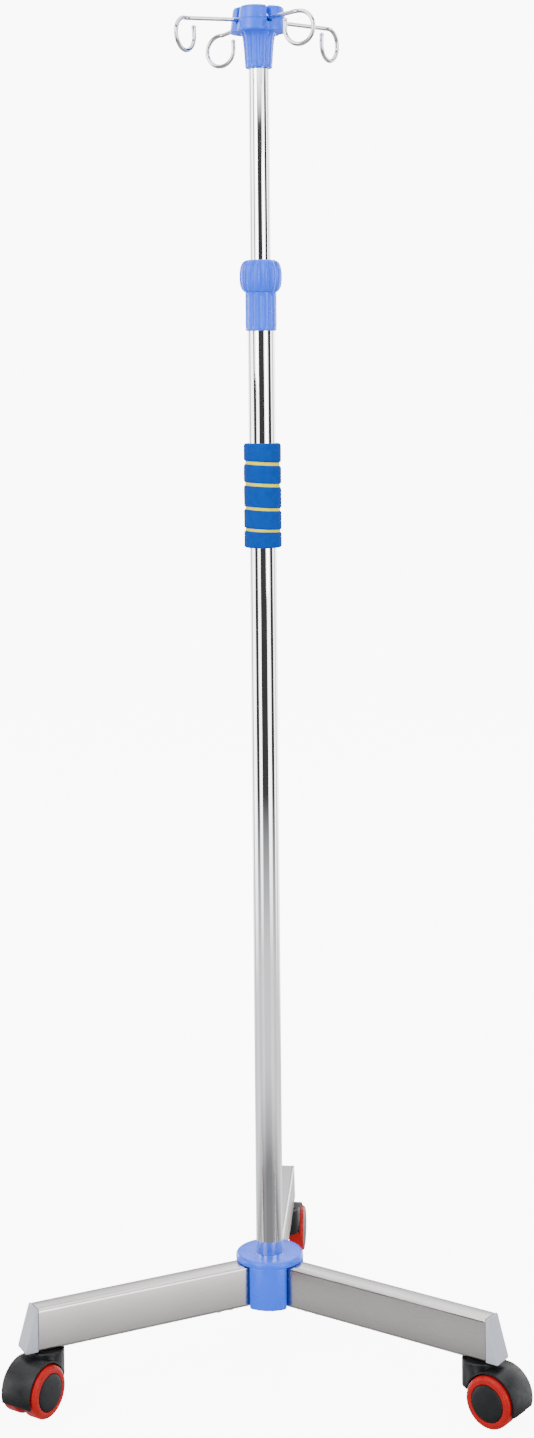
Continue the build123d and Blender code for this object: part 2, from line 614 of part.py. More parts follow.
        with BuildPart() as hub_cap:
            with BuildSketch(axle_plane):
                with BuildLine():
                    Polyline(
                        (CORE_R - HUB_CAP_GAP, side * (WHEEL_OUT - HUB_CAP_SINK)),
                        (CORE_R - HUB_CAP_GAP, side * CORE_OUT),
                        (0, side * CORE_OUT),
                        (0, side * (WHEEL_OUT + HUB_CAP_RISE)),
                        (HUB_CAP_FLAT_R, side * (WHEEL_OUT + HUB_CAP_RISE)),
                    )
                    ThreePointArc(
                        (HUB_CAP_FLAT_R, side * (WHEEL_OUT + HUB_CAP_RISE)),
                        (CORE_R * HUB_CAP_MID[0], side * (WHEEL_OUT + HUB_CAP_RISE * HUB_CAP_MID[1])),
                        (CORE_R - HUB_CAP_GAP, side * (WHEEL_OUT - HUB_CAP_SINK)),
                    )
                make_face()
            revolve(axis=axle_axis)
        hub_cap.part.label = f"hub_cap_{leg}_{name}"
        export_step(hub_cap.part, f"parts/hub_cap_{leg}_{name}.step")

# =====================================================================================
# grip and twist lock
# =====================================================================================

with BuildPart() as grip_core:
    with BuildSketch(Plane.XY.offset(GRIP_LOW)):
        Circle(GRIP_CORE_R)
        Circle(LOWER_R, mode=Mode.SUBTRACT)
    extrude(amount=GRIP_L)
grip_core.part.label = "grip_core"
export_step(grip_core.part, "parts/grip_core.step")

with BuildPart() as grip_bands:
    band_low = 0.0
    for groove in (*GRIP_GROOVES_UP, GRIP_L + GRIP_GROOVE / 2):
        with BuildSketch(Plane.XY.offset(GRIP_LOW + band_low)):
            Circle(GRIP_R)
            Circle(GRIP_CORE_R, mode=Mode.SUBTRACT)
        extrude(amount=groove - GRIP_GROOVE / 2 - band_low)
        band_low = groove + GRIP_GROOVE / 2
grip_bands.part.label = "grip_bands"
export_step(grip_bands.part, "parts/grip_bands.step")

with BuildPart() as lock_collar:
    with BuildSketch(Plane.XY.offset(LOCK_LOW)):
        with BuildLine():
            Spline(*fluted_points(LOWER_R + COLLAR_WALL, COLLAR_FLUTE_DEPTH, COLLAR_FLUTES, FLUTE_PHASE),
                   periodic=True)
        make_face()
    extrude(amount=COLLAR_L)
    with BuildSketch(Plane.XY.offset(COLLAR_TOP)):
        Circle(NECK_R)
    extrude(amount=NECK_L)
    with BuildSketch(Plane.XY.offset(LOCK_LOW)):
        Circle(LOWER_R)
    extrude(amount=LOWER_TOP - LOCK_LOW, mode=Mode.SUBTRACT)
    with BuildSketch(Plane.XZ):
        with BuildLine():
            Polyline(
                (0, LOWER_TOP),
                (CONE_LOW_R, LOWER_TOP),
                (CONE_LOW_R, CONE_LOW),
                (CONE_TOP_R, NECK_TOP),
                (0, NECK_TOP),
                close=True,
            )
        make_face()
    revolve(axis=Axis.Z, mode=Mode.SUBTRACT)
lock_collar.part.label = "lock_collar"
export_step(lock_collar.part, "parts/lock_collar.step")

with BuildPart() as lock_collet:
    with BuildSketch(Plane.XZ):
        with BuildLine():
            Polyline(
                (COLLET_BORE, COLLET_LOW),
                (COLLET_LOW_R, COLLET_LOW),
                (CONE_TOP_R - CONE_GAP, NECK_TOP),
                (CONE_TOP_R - CONE_GAP, COLLET_FLANGE),
                (NECK_R - 0.6, COLLET_FLANGE),
                (NECK_R - 0.6, COLLET_FLANGE + COLLET_FLANGE_T),
                (COLLET_BORE, COLLET_FLANGE + COLLET_FLANGE_T),
                close=True,
            )
        make_face()
    revolve(axis=Axis.Z)
    with BuildSketch(Plane.XY.offset(COLLAR_TOP)):
        with Locations((NECK_R, 0)):
            Rectangle(2 * NECK_R, COLLET_SLIT)
    extrude(amount=NECK_L + 5.0, mode=Mode.SUBTRACT)
    with BuildSketch(Plane.XY.offset(COLLAR_TOP)):
        with PolarLocations(NECK_R, 6):
            Rectangle(NECK_R, 0.75 * COLLET_SLIT)
    extrude(amount=NECK_L - 3.0, mode=Mode.SUBTRACT)
lock_collet.part.label = "lock_collet"
export_step(lock_collet.part, "parts/lock_collet.step")

with BuildPart() as lock_nut:
    # share of the nut's height, surface inside its widest ribs, depth of its ribs
    for share, inside, depth in (
        (0.0, 4.6, 0.3),
        (0.07, 2.4, 0.9),
        (0.22, 0.6, 1.4),
        (0.45, 0.0, 1.5),
        (0.68, 0.3, 1.5),
        (0.87, 1.8, 1.2),
        (0.96, 3.8, 0.7),
        (1.0, 5.8, 0.2),
    ):
        with BuildSketch(Plane.XY.offset(NUT_LOW + NUT_L * share)):
            with BuildLine():
                Spline(*fluted_points(NUT_R - inside, depth, NUT_RIBS, FLUTE_PHASE), periodic=True)
            make_face()
    loft()
    with BuildSketch(Plane.XY.offset(NUT_LOW)):
        Circle(NECK_R + 0.1)
    extrude(amount=FLANGE_SEAT - NUT_LOW, mode=Mode.SUBTRACT)
    with BuildSketch(Plane.XY.offset(NUT_LOW)):
        Circle(UPPER_R + NUT_MOUTH)
    extrude(amount=NUT_L, mode=Mode.SUBTRACT)
lock_nut.part.label = "lock_nut"
export_step(lock_nut.part, "parts/lock_nut.step")

# =====================================================================================
# mast: guide, upper tube, head
# =====================================================================================

with BuildPart() as guide_bush:
    with BuildSketch(Plane.XY.offset(BUSH_LOW)):
        Circle(BUSH_R)
        Circle(UPPER_R + TUBE_PLAY, mode=Mode.SUBTRACT)
    extrude(amount=BUSH_L)
    chamfer(guide_bush.edges().filter_by(GeomType.CIRCLE).group_by(SortBy.RADIUS)[-1], length=0.6)
guide_bush.part.label = "guide_bush"
export_step(guide_bush.part, "parts/guide_bush.step")

with BuildPart() as upper_tube:
    with BuildSketch(Plane.XY.offset(UPPER_LOW)):
        Circle(UPPER_R)
        Circle(UPPER_BORE, mode=Mode.SUBTRACT)
    extrude(amount=UPPER_L)
upper_tube.part.label = "upper_tube"
export_step(upper_tube.part, "parts/upper_tube.step")

with BuildPart() as mast_foot:
    with BuildSketch(Plane.XY.offset(UPPER_LOW)):
        Circle(FOOT_FLANGE_R)
    extrude(amount=-FOOT_FLANGE_T)
    with BuildSketch(Plane.XY.offset(UPPER_LOW)):
        Circle(UPPER_BORE)
    extrude(amount=FOOT_PLUG_L)
    chamfer(mast_foot.edges().group_by(Axis.Z)[-1], length=1.0)
mast_foot.part.label = "mast_foot"
export_step(mast_foot.part, "parts/mast_foot.step")

with BuildPart() as bush_ring:
    with BuildSketch(Plane.XY.offset(BUSH_LOW + BUSH_L + 0.2)):
        Circle(FOOT_FLANGE_R)
        Circle(UPPER_R, mode=Mode.SUBTRACT)
        with Locations((UPPER_R, 0)):
            Rectangle(6.0, 3.0, mode=Mode.SUBTRACT)
    extrude(amount=BUSH_RING_T)
bush_ring.part.label = "bush_ring"
export_step(bush_ring.part, "parts/bush_ring.step")

with BuildPart() as head_block:
    with BuildSketch(Plane.XY.offset(SKIRT_TOP)):
        for hook_angle in HOOK_ANGLES:
            with Locations(radial(hook_angle + 45.0) * (HEAD_RIM_R - LOBE_R)):
                Circle(LOBE_R)
    extrude(amount=HEAD_H, taper=HEAD_DRAFT)
    fillet(head_block.edges().group_by(Axis.Z)[-1], radius=HEAD_EDGE_R)
    for hook_angle in HOOK_ANGLES:
        with BuildSketch(turned(hook_angle, PIVOT_Z - HOOK_R - HOOK_FLOOR_GAP)):
            with Locations((SLOT_IN + 20.0, 0)):
                Rectangle(40.0, HOOK_SLOT_W)
        extrude(amount=HEAD_H + 10.0, mode=Mode.SUBTRACT)
        with BuildSketch(turned(hook_angle, PIVOT_Z - EYE_POCKET)):
            with Locations((HOOK_PIVOT_R, 0)):
                Rectangle(2 * (HOOK_PIVOT_R - SLOT_IN), HOOK_SLOT_W)
        extrude(amount=HEAD_H, mode=Mode.SUBTRACT)
        pin_middle = radial(hook_angle) * HOOK_PIVOT_R + Vector(0, 0, PIVOT_Z)
        with BuildSketch(Plane(origin=pin_middle, z_dir=tangent(hook_angle))):
            Circle(PIN_R)
        extrude(amount=HOOK_PIN_L / 2, both=True, mode=Mode.SUBTRACT)

with BuildPart() as head_body:
    add(head_block.part)
    split(bisect_by=Plane.XY.offset(PIVOT_Z), keep=Keep.BOTTOM)
    skirt_ends = ((HEAD_LOW, SKIRT_LOW_R), (SKIRT_TOP, SKIRT_TOP_R))
    for (height, radius), depth in zip(skirt_ends, SKIRT_RIB_DEPTHS):
        with BuildSketch(Plane.XY.offset(height)):
            with BuildLine():
                Spline(*fluted_points(radius, depth, SKIRT_RIBS, FLUTE_PHASE), periodic=True)
            make_face()
    loft()
    with BuildSketch(Plane.XY.offset(HEAD_LOW)):
        Circle(UPPER_R)
    extrude(amount=UPPER_TOP - HEAD_LOW, mode=Mode.SUBTRACT)
    with BuildSketch(Plane.XY.offset(CAP_SCREW_LOW)):
        Circle(CAP_SCREW_R)
    extrude(amount=HEAD_H, mode=Mode.SUBTRACT)
    with BuildSketch(Plane(origin=(0, 0, GRUB_Z), z_dir=(0, 1, 0))):
        Circle(GRUB_R)
    extrude(amount=SKIRT_TOP_R + 2, mode=Mode.SUBTRACT)
head_body.part.label = "head_body"
export_step(head_body.part, "parts/head_body.step")

with BuildPart() as head_cap:
    add(head_block.part)
    split(bisect_by=Plane.XY.offset(PIVOT_Z), keep=Keep.TOP)
    with BuildSketch(Plane.XY.offset(PIVOT_Z)):
        Circle(CAP_SCREW_R + 0.2)
    extrude(amount=HEAD_H, mode=Mode.SUBTRACT)
    with BuildSketch(Plane.XY.offset(HEAD_TOP - CAP_SCREW_SINK)):
        Circle(CAP_SCREW_HEAD_R + 0.2)
    extrude(amount=CAP_SCREW_SINK, mode=Mode.SUBTRACT)
head_cap.part.label = "head_cap"
export_step(head_cap.part, "parts/head_cap.step")

with BuildPart() as head_cap_screw:
    with BuildSketch(Plane.XY.offset(CAP_SCREW_LOW)):
        Circle(CAP_SCREW_R)
    extrude(amount=HEAD_TOP - CAP_SCREW_SINK - CAP_SCREW_LOW)
    with BuildSketch(Plane.XY.offset(HEAD_TOP - CAP_SCREW_SINK)):
        Circle(CAP_SCREW_HEAD_R)
    extrude(amount=CAP_SCREW_HEAD_H)
    fillet(head_cap_screw.edges().group_by(Axis.Z)[-1], radius=1.5)
    with BuildSketch(Plane.XY.offset(HEAD_TOP - CAP_SCREW_SINK + CAP_SCREW_HEAD_H)):
        RegularPolygon(radius=2.0, side_count=6, major_radius=False)
    extrude(amount=-2.4, mode=Mode.SUBTRACT)
head_cap_screw.part.label = "head_cap_screw"
export_step(head_cap_screw.part, "parts/head_cap_screw.step")

with BuildPart() as head_grub_screw:
    with BuildSketch(Plane(origin=(0, UPPER_R + 0.1, GRUB_Z), z_dir=(0, 1, 0))):
        Circle(GRUB_R)
    extrude(amount=SKIRT_LOW_R - UPPER_R)
    with BuildSketch(Plane(origin=(0, SKIRT_LOW_R + 0.1, GRUB_Z), z_dir=(0, -1, 0))):
        RegularPolygon(radius=1.25, side_count=6, major_radius=False)
    extrude(amount=1.8, mode=Mode.SUBTRACT)
head_grub_screw.part.label = "head_grub_screw"
export_step(head_grub_screw.part, "parts/head_grub_screw.step")

with BuildPart() as hook_pins:
    for hook_angle in HOOK_ANGLES:
        pin_middle = radial(hook_angle) * HOOK_PIVOT_R + Vector(0, 0, PIVOT_Z)
        with BuildSketch(Plane(origin=pin_middle, z_dir=tangent(hook_angle))):
            Circle(PIN_R)
        extrude(amount=HOOK_PIN_L / 2, both=True)
hook_pins.part.label = "hook_pins"
export_step(hook_pins.part, "parts/hook_pins.step")

# =====================================================================================
# hooks
# =====================================================================================

def on_bend(swept):
    """Point of an arm's level bend after an angle, in the arm's plane from its pivot."""
    around = radians(swept)
    start = Vector(HOOK_BEND_AT - HOOK_PIVOT_R, 0, 0)
    return start + Vector(HOOK_BEND_R * sin(around), HOOK_BEND_R * (1 - cos(around)), 0)


def on_loop(swept):
    """Point of a hook's loop after an angle from its top, outwards and down."""
    around = radians(swept)
    middle = on_bend(HOOK_TURN) - Vector(0, 0, HOOK_LOOP_R)
    heading = Vector(cos(radians(HOOK_TURN)), sin(radians(HOOK_TURN)), 0)
    return middle + heading * (HOOK_LOOP_R * sin(around)) + Vector(0, 0, HOOK_LOOP_R * cos(around))


for number, hook_angle in enumerate(HOOK_ANGLES, start=1):
    pivot = radial(hook_angle) * HOOK_PIVOT_R + Vector(0, 0, PIVOT_Z)
    droop = radians(HOOK_DROOP)
    arm_dir = radial(hook_angle) * cos(droop) - Vector(0, 0, sin(droop))
    arm_plane = Plane(origin=pivot, x_dir=arm_dir, z_dir=arm_dir.cross(tangent(hook_angle)))
    arm_start = arm_plane.from_local_coords(Vector(EYE_R, 0, 0))
    bend_points = [arm_plane.from_local_coords(on_bend(swept)) for swept in (0, HOOK_TURN / 2, HOOK_TURN)]
    loop_points = [arm_plane.from_local_coords(on_loop(swept)) for swept in (0, 67.5, 135, 202.5, 270)]
    tip = arm_plane.from_local_coords(on_loop(270) + Vector(0, 0, HOOK_TIP))

    with BuildPart() as hook:
        with BuildLine():
            Line(arm_start, bend_points[0])
            ThreePointArc(*bend_points)
            ThreePointArc(*loop_points[:3])
            ThreePointArc(*loop_points[2:])
            Line(loop_points[4], tip)
        with BuildSketch(Plane(origin=arm_start, z_dir=arm_dir)):
            Circle(HOOK_R)
        sweep()
        with Locations(Plane(origin=pivot, z_dir=tangent(hook_angle)).location):
            Torus(EYE_R, EYE_WIRE_R)
        with Locations(tip):
            Sphere(HOOK_R + HOOK_TIP_OVER / 2)
    hook.part.label = f"hook_{number}"
    export_step(hook.part, f"parts/hook_{number}.step")
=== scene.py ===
import json
import math

import bmesh
import bpy
from mathutils import Matrix, Vector, noise


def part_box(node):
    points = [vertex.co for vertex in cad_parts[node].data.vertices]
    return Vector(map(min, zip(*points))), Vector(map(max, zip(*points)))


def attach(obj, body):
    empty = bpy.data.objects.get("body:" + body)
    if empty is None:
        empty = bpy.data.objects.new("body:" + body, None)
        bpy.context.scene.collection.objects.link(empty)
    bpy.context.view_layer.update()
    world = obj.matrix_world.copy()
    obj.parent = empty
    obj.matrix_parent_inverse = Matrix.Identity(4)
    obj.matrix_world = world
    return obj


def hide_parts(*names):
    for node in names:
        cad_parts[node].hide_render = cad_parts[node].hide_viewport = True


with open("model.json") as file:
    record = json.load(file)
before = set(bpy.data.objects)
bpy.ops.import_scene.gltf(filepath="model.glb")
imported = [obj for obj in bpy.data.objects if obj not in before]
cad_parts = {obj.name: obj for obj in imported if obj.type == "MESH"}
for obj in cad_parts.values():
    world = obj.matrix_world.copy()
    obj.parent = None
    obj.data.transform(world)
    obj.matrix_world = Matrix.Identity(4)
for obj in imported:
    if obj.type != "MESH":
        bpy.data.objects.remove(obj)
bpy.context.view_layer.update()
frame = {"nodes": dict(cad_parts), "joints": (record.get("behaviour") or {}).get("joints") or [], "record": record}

bl_info = {
    "name": "Wheeled infusion stand",
    "version": (1, 0, 0),
    "blender": (4, 5, 0),
    "location": "View3D > Sidebar > Stand",
    "description": "Finished pieces and materials of a wheeled infusion stand, built around its frame",
    "category": "Object",
}

MM = 0.001                      # sizes below are millimetres times MM, so metres
UP = Vector((0.0, 0.0, 1.0))

LEGS = {"left": 210.0, "right": 330.0, "rear": 90.0}
HOOKS = (1, 2, 3, 4)
WHEELS = ("a", "b")
BAND_TILT_SIDE = 4.1            # degrees: the way in which the grip's grooves fall

# the lock nut's side: share of its height, and radius in millimetres
NUT_BULB = ((0.0, 15.3), (0.035, 16.5), (0.09, 17.9), (0.18, 19.1), (0.3, 19.8), (0.45, 20.0), (0.6, 19.9),
            (0.72, 19.5), (0.82, 18.8), (0.9, 17.7), (0.95, 16.4), (0.985, 14.9), (1.0, 13.6))
# rings that close the head's top: shares of its radius
CAP_TOP_SHARES = (0.93, 0.85, 0.7, 0.5, 0.3, 0.12)

# wheels, in millimetres: the tyre's thickness, its near and far faces from the caster's middle,
# and how far the hub cap stands out of it
TYRE_DEEP, TYRE_NEAR, TYRE_FAR = 6.5 * MM, 4.5 * MM, 19.6 * MM
CAP_STANDS_OUT, CAP_SINKS = 0.9 * MM, 1.7 * MM
CAP_DOME = ((0.84, 0.34 * MM), (0.62, 0.66 * MM))       # shares of its radius, and heights over the tyre
# the wheel core's bore and boss, and the faces of its boss, web and rim
AXLE_BORE, BOSS_NEAR, BOSS_OUT = 3.05 * MM, 4.2 * MM, 6.8 * MM
WEB_FACE, RIM_NEAR = 14 * MM, 5 * MM
RIM_DEEP, CORE_BACK = 1.7 * MM, 1.8 * MM
SPOKE_IN, SPOKE_HALF = 6.9 * MM, 0.7 * MM
SPOKE_NEAR, SPOKE_FAR = 6.0 * MM, 14.2 * MM

# dark gaps of the mirrored room: degrees from the camera's bearing, half width in degrees, brightness
ROOM_GAPS = ((-2.0, 26.0, 0.01), (-74.0, 14.0, 0.01), (62.0, 13.0, 0.01), (-114.0, 10.0, 0.3),
             (122.0, 11.0, 0.2), (180.0, 20.0, 0.02))
GAP_BLUR = 4.0                  # degrees over which a gap turns light
# brightness by height, from straight down to straight up: the two dark rings edge the hooks' wire
ROOM_HEIGHTS = ((0.0, 0.6), (0.10, 0.6), (0.14, 0.25), (0.24, 0.25), (0.28, 1.0), (0.735, 1.0),
                (0.76, 0.04), (0.85, 0.04), (0.875, 1.0), (1.0, 1.0))
FLOOR_GREY = (0.21, 0.21, 0.215, 1.0)
CEILING_PALE = (0.62, 0.62, 0.64, 1.0)
FRAME_SHIFT = (0.0037, -0.2335)
AIM = (0, 0, 0.6)               # what the lamps point at
# name, share of the key light's power, size and place of each lamp, in metres
LAMPS = (("key", 1.0, 1.6, (-1.7, -1.9, 2.2)), ("fill", 0.45, 1.2, (1.69, -1.97, 1.3)),
         ("back", 0.5, 1.8, (0.4, 2.4, 2.4)))


# =============================================================================
# colour and node helpers
# =============================================================================

def linear(code):
    """Linear RGB of an sRGB hex colour."""
    channels = [int(code[k:k + 2], 16) / 255 for k in (1, 3, 5)]
    return tuple(c / 12.92 if c <= 0.04045 else ((c + 0.055) / 1.055) ** 2.4 for c in channels)


def add_node(tree, kind, settings=None, inputs=None):
    """Adds a node, sets its settings, and sets or links its inputs by name or number."""
    made = tree.nodes.new(kind)
    for name, value in (settings or {}).items():
        setattr(made, name, value)
    for key, value in (inputs or {}).items():
        socket = made.inputs[key]
        if isinstance(value, bpy.types.NodeSocket):
            tree.links.new(value, socket)
        else:
            socket.default_value = value
    return made


def new_material(name, roughness, metallic=0.0, **constants):
    """An empty material with its shader; the constants go on the shader's own sockets."""
    mat = bpy.data.materials.new(name)
    mat.use_nodes = True
    tree = mat.node_tree
    tree.nodes.clear()
    shader = add_node(tree, "ShaderNodeBsdfPrincipled", None,
                      {"Roughness": roughness, "Metallic": metallic, **constants})
    add_node(tree, "ShaderNodeOutputMaterial", None, {"Surface": shader.outputs["BSDF"]})
    return mat, tree, shader


def object_space(tree, stretch=(1.0, 1.0, 1.0)):
    """Object coordinates, stretched for a pattern that runs one way."""
    where = add_node(tree, "ShaderNodeTexCoord")
    scaled = add_node(tree, "ShaderNodeMapping", None, {"Vector": where.outputs["Object"], "Scale": stretch})
    return scaled.outputs["Vector"]


def noise_at(tree, space, size_mm, detail=2.0, rough=0.5):
    """Noise whose features are about that many millimetres."""
    made = add_node(tree, "ShaderNodeTexNoise", None,
                    {"Vector": space, "Scale": 1.0 / (size_mm * MM), "Detail": detail, "Roughness": rough})
    return made.outputs["Fac"]


def ranged(tree, value, low, high, from_low=0.3, from_high=0.7):
    """Maps a pattern's value to a range."""
    made = add_node(tree, "ShaderNodeMapRange", {"clamp": True}, {
        "Value": value, "From Min": from_low, "From Max": from_high, "To Min": low, "To Max": high})
    return made.outputs["Result"]


def tinted(tree, shader, colour, value, darker=0.9, lighter=1.08):
    """Base colour that drifts between a darker and a lighter tone with a pattern."""
    ramp = add_node(tree, "ShaderNodeValToRGB", None, {"Fac": value})
    ramp.color_ramp.elements[0].position = 0.3
    ramp.color_ramp.elements[1].position = 0.7
    ramp.color_ramp.elements[0].color = (*[c * darker for c in colour], 1.0)
    ramp.color_ramp.elements[1].color = (*[min(1.0, c * lighter) for c in colour], 1.0)
    tree.links.new(ramp.outputs["Color"], shader.inputs["Base Color"])
    return ramp.outputs["Color"]


def bumped(tree, shader, value, depth_mm, strength=1.0):
    """Relief of that depth on the shader's normal, over any relief already there."""
    inputs = {"Height": value, "Distance": depth_mm * MM, "Strength": strength}
    if shader.inputs["Normal"].links:
        inputs["Normal"] = shader.inputs["Normal"].links[0].from_socket
    made = add_node(tree, "ShaderNodeBump", None, inputs)
    tree.links.new(made.outputs["Normal"], shader.inputs["Normal"])


# =============================================================================
# materials, each named for the real one
# =============================================================================

def polished_304_stainless():
    # Drawn 304 tube, buffed: a near mirror with faint rings left by the wheel and soft smears.
    mat, tree, shader = new_material("polished_304_stainless", 0.1, 1.0)
    rings = noise_at(tree, object_space(tree, (0.04, 0.04, 1.0)), 1.6, 3.0, 0.6)
    smears = noise_at(tree, object_space(tree, (1.0, 1.0, 0.35)), 22.0, 3.0, 0.6)
    tinted(tree, shader, linear("#dcdcde"), smears, 0.95, 1.03)
    tree.links.new(ranged(tree, smears, 0.03, 0.08), shader.inputs["Roughness"])
    # The rings are really about 0.1 mm apart; drawn at 1.6 mm so that they show at all.
    bumped(tree, shader, rings, 0.002, 0.2)
    return mat


def satin_304_stainless():
    # Satin 304 box section, belt-ground along its length: broad soft highlights, fine lines lengthwise.
    mat, tree, shader = new_material("satin_304_stainless", 0.24, 1.0)
    where = add_node(tree, "ShaderNodeUVMap", {"uv_map": "along"})
    flat = add_node(tree, "ShaderNodeMapping", None,
                    {"Vector": where.outputs["UV"], "Scale": (0.03, 1.0, 1.0)})
    # Grit lines of about 0.15 mm, drawn at 0.9 mm so that they show.
    lines = noise_at(tree, flat.outputs["Vector"], 0.9, 3.0, 0.6)
    drift = noise_at(tree, object_space(tree), 60.0, 2.0)
    tinted(tree, shader, linear("#a5a19f"), drift, 0.97, 1.02)
    tree.links.new(ranged(tree, lines, 0.18, 0.28), shader.inputs["Roughness"])
    bumped(tree, shader, lines, 0.01, 0.35)
    return mat


def moulded_blue_abs(colour):
    # Injection-moulded ABS: a slightly soft gloss over a very fine spark-eroded grain.
    mat, tree, shader = new_material("moulded_blue_abs", 0.3, **{
        "IOR": 1.53, "Specular IOR Level": 0.3, "Subsurface Weight": 0.04, "Subsurface Scale": 0.002})
    space = object_space(tree)
    tinted(tree, shader, colour, noise_at(tree, space, 18.0), 0.96, 1.04)
    tree.links.new(ranged(tree, noise_at(tree, space, 9.0), 0.25, 0.35), shader.inputs["Roughness"])
    # The grain is about 0.1 mm; drawn at 0.7 mm so that it shows.
    bumped(tree, shader, noise_at(tree, space, 0.7, 2.0), 0.005, 0.2)
    return mat


def moulded_grey_pp(colour):
    # Moulded polypropylene end cap: matt, faintly waxy, with a fine grain.
    mat, tree, shader = new_material("moulded_grey_pp", 0.5, **{
        "IOR": 1.49, "Specular IOR Level": 0.25, "Subsurface Weight": 0.08, "Subsurface Scale": 0.0015})
    space = object_space(tree)
    tinted(tree, shader, colour, noise_at(tree, space, 14.0), 0.97, 1.03)
    tree.links.new(ranged(tree, noise_at(tree, space, 6.0), 0.44, 0.58), shader.inputs["Roughness"])
    bumped(tree, shader, noise_at(tree, space, 0.6, 2.0), 0.012, 0.4)
    return mat


def glass_filled_nylon(colour):
    # Glass-filled nylon of the hoods, cores and hub caps: near black, with a dull sheen and floor dust.
    mat, tree, shader = new_material("glass_filled_nylon", 0.4, **{"IOR": 1.53, "Specular IOR Level": 0.18})
    space = object_space(tree)
    tinted(tree, shader, colour, noise_at(tree, space, 10.0, 3.0), 0.82, 1.22)
    tree.links.new(ranged(tree, noise_at(tree, space, 4.0, 3.0), 0.34, 0.50), shader.inputs["Roughness"])
    # Grain of about 0.15 mm, drawn at 0.7 mm.
    bumped(tree, shader, noise_at(tree, space, 0.7, 3.0), 0.02, 0.4)
    return mat


def cast_polyurethane(colour):
    # Cast polyurethane tread: smooth and slightly waxy, duller where it has rolled.
    mat, tree, shader = new_material("cast_polyurethane", 0.36, **{
        "IOR": 1.5, "Specular IOR Level": 0.18, "Subsurface Weight": 0.03, "Subsurface Scale": 0.001})
    space = object_space(tree)
    tinted(tree, shader, colour, noise_at(tree, space, 8.0, 3.0), 0.9, 1.08)
    tree.links.new(ranged(tree, noise_at(tree, space, 3.0, 4.0), 0.30, 0.50), shader.inputs["Roughness"])
    bumped(tree, shader, noise_at(tree, space, 1.5, 3.0), 0.02, 0.3)
    return mat


def nitrile_foam(name, colour):
    # Closed-cell nitrile foam: matt skin with small cells just showing through.
    mat, tree, shader = new_material(name, 0.8, **{
        "IOR": 1.45, "Specular IOR Level": 0.08, "Sheen Weight": 0.03, "Sheen Roughness": 0.5})
    space = object_space(tree)
    tinted(tree, shader, colour, noise_at(tree, space, 5.0, 4.0), 0.9, 1.1)
    # Cells are about 0.3 mm; drawn at 1.1 mm so that they show.
    cells = add_node(tree, "ShaderNodeTexVoronoi", None, {"Vector": space, "Scale": 1.0 / (1.1 * MM)})
    bumped(tree, shader, cells.outputs["Distance"], 0.12, 0.5)
    bumped(tree, shader, noise_at(tree, space, 7.0, 3.0), 0.25, 0.4)
    tree.links.new(ranged(tree, cells.outputs["Distance"], 0.72, 0.9, 0.0, 0.6), shader.inputs["Roughness"])
    return mat


def chromed_steel_wire():
    # Bright chromium over drawn wire: a mirror, with the plating's faint ripple along the wire.
    mat, tree, shader = new_material("chromed_steel_wire", 0.06, 1.0)
    space = object_space(tree)
    tinted(tree, shader, linear("#bcbcc0"), noise_at(tree, space, 6.0), 0.95, 1.03)
    tree.links.new(ranged(tree, noise_at(tree, space, 3.0, 3.0), 0.04, 0.10), shader.inputs["Roughness"])
    bumped(tree, shader, noise_at(tree, space, 2.5, 2.0), 0.01, 0.3)
    return mat


def zinc_plated_steel():
    # Passivated zinc plating on the screws: grey with a slight yellow-blue drift and a soft sparkle.
    mat, tree, shader = new_material("zinc_plated_steel", 0.3, 1.0)
    space = object_space(tree)
    ramp = add_node(tree, "ShaderNodeValToRGB", None, {"Fac": noise_at(tree, space, 3.0, 3.0)})
    ramp.color_ramp.elements[0].color = (*linear("#b9bfc6"), 1.0)
    ramp.color_ramp.elements[1].color = (*linear("#cfcbb8"), 1.0)
    tree.links.new(ramp.outputs["Color"], shader.inputs["Base Color"])
    tree.links.new(ranged(tree, noise_at(tree, space, 1.0, 3.0), 0.22, 0.42), shader.inputs["Roughness"])
    return mat


def natural_acetal():
    # Turned natural acetal of the collet, bush and foot: off-white, waxy, with fine turning marks.
    mat, tree, shader = new_material("natural_acetal", 0.38, **{
        "IOR": 1.48, "Subsurface Weight": 0.15, "Subsurface Scale": 0.002})
    tinted(tree, shader, linear("#ece9df"), noise_at(tree, object_space(tree), 12.0), 0.97, 1.02)
    marks = noise_at(tree, object_space(tree, (0.05, 0.05, 1.0)), 0.8, 2.0)
    bumped(tree, shader, marks, 0.01, 0.3)
    return mat


def pale_floor():
    # Plain painted studio floor, nearly white.
    # It gives off a little light of its own, so that it meets the pale room without a seam.
    mat, tree, shader = new_material("pale_floor", 0.7, **{
        "Emission Color": (1.0, 1.0, 1.0, 1.0), "Emission Strength": 8.4, "Specular IOR Level": 0.1})
    tinted(tree, shader, linear("#f4f4f4"), noise_at(tree, object_space(tree), 400.0), 0.99, 1.01)
    return mat


def finishes():
    """The materials by the record's slots, made once."""
    if not FINISHES:
        colours = bpy.context.scene.stand_colours
        FINISHES.update({
            "blue_plastic": moulded_blue_abs(tuple(colours.plastic)),
            "polished_tube": polished_304_stainless(),
            "satin_tube": satin_304_stainless(),
            "grey_plastic": moulded_grey_pp(tuple(colours.end_cap)),
            "blue_foam": nitrile_foam("nitrile_foam_blue", tuple(colours.foam)),
            "yellow_foam": nitrile_foam("nitrile_foam_yellow", tuple(colours.foam_core)),
            "red_tyre": cast_polyurethane(tuple(colours.tyre)),
            "black_plastic": glass_filled_nylon(tuple(colours.hood)),
            "white_acetal": natural_acetal(),
            "chromed_wire": chromed_steel_wire(),
            "zinc_steel": zinc_plated_steel(),
        })
        FINISHES["wheel_plastic"] = FINISHES["black_plastic"]
    return FINISHES


FINISHES = {}


# =============================================================================
# mesh helpers
# =============================================================================

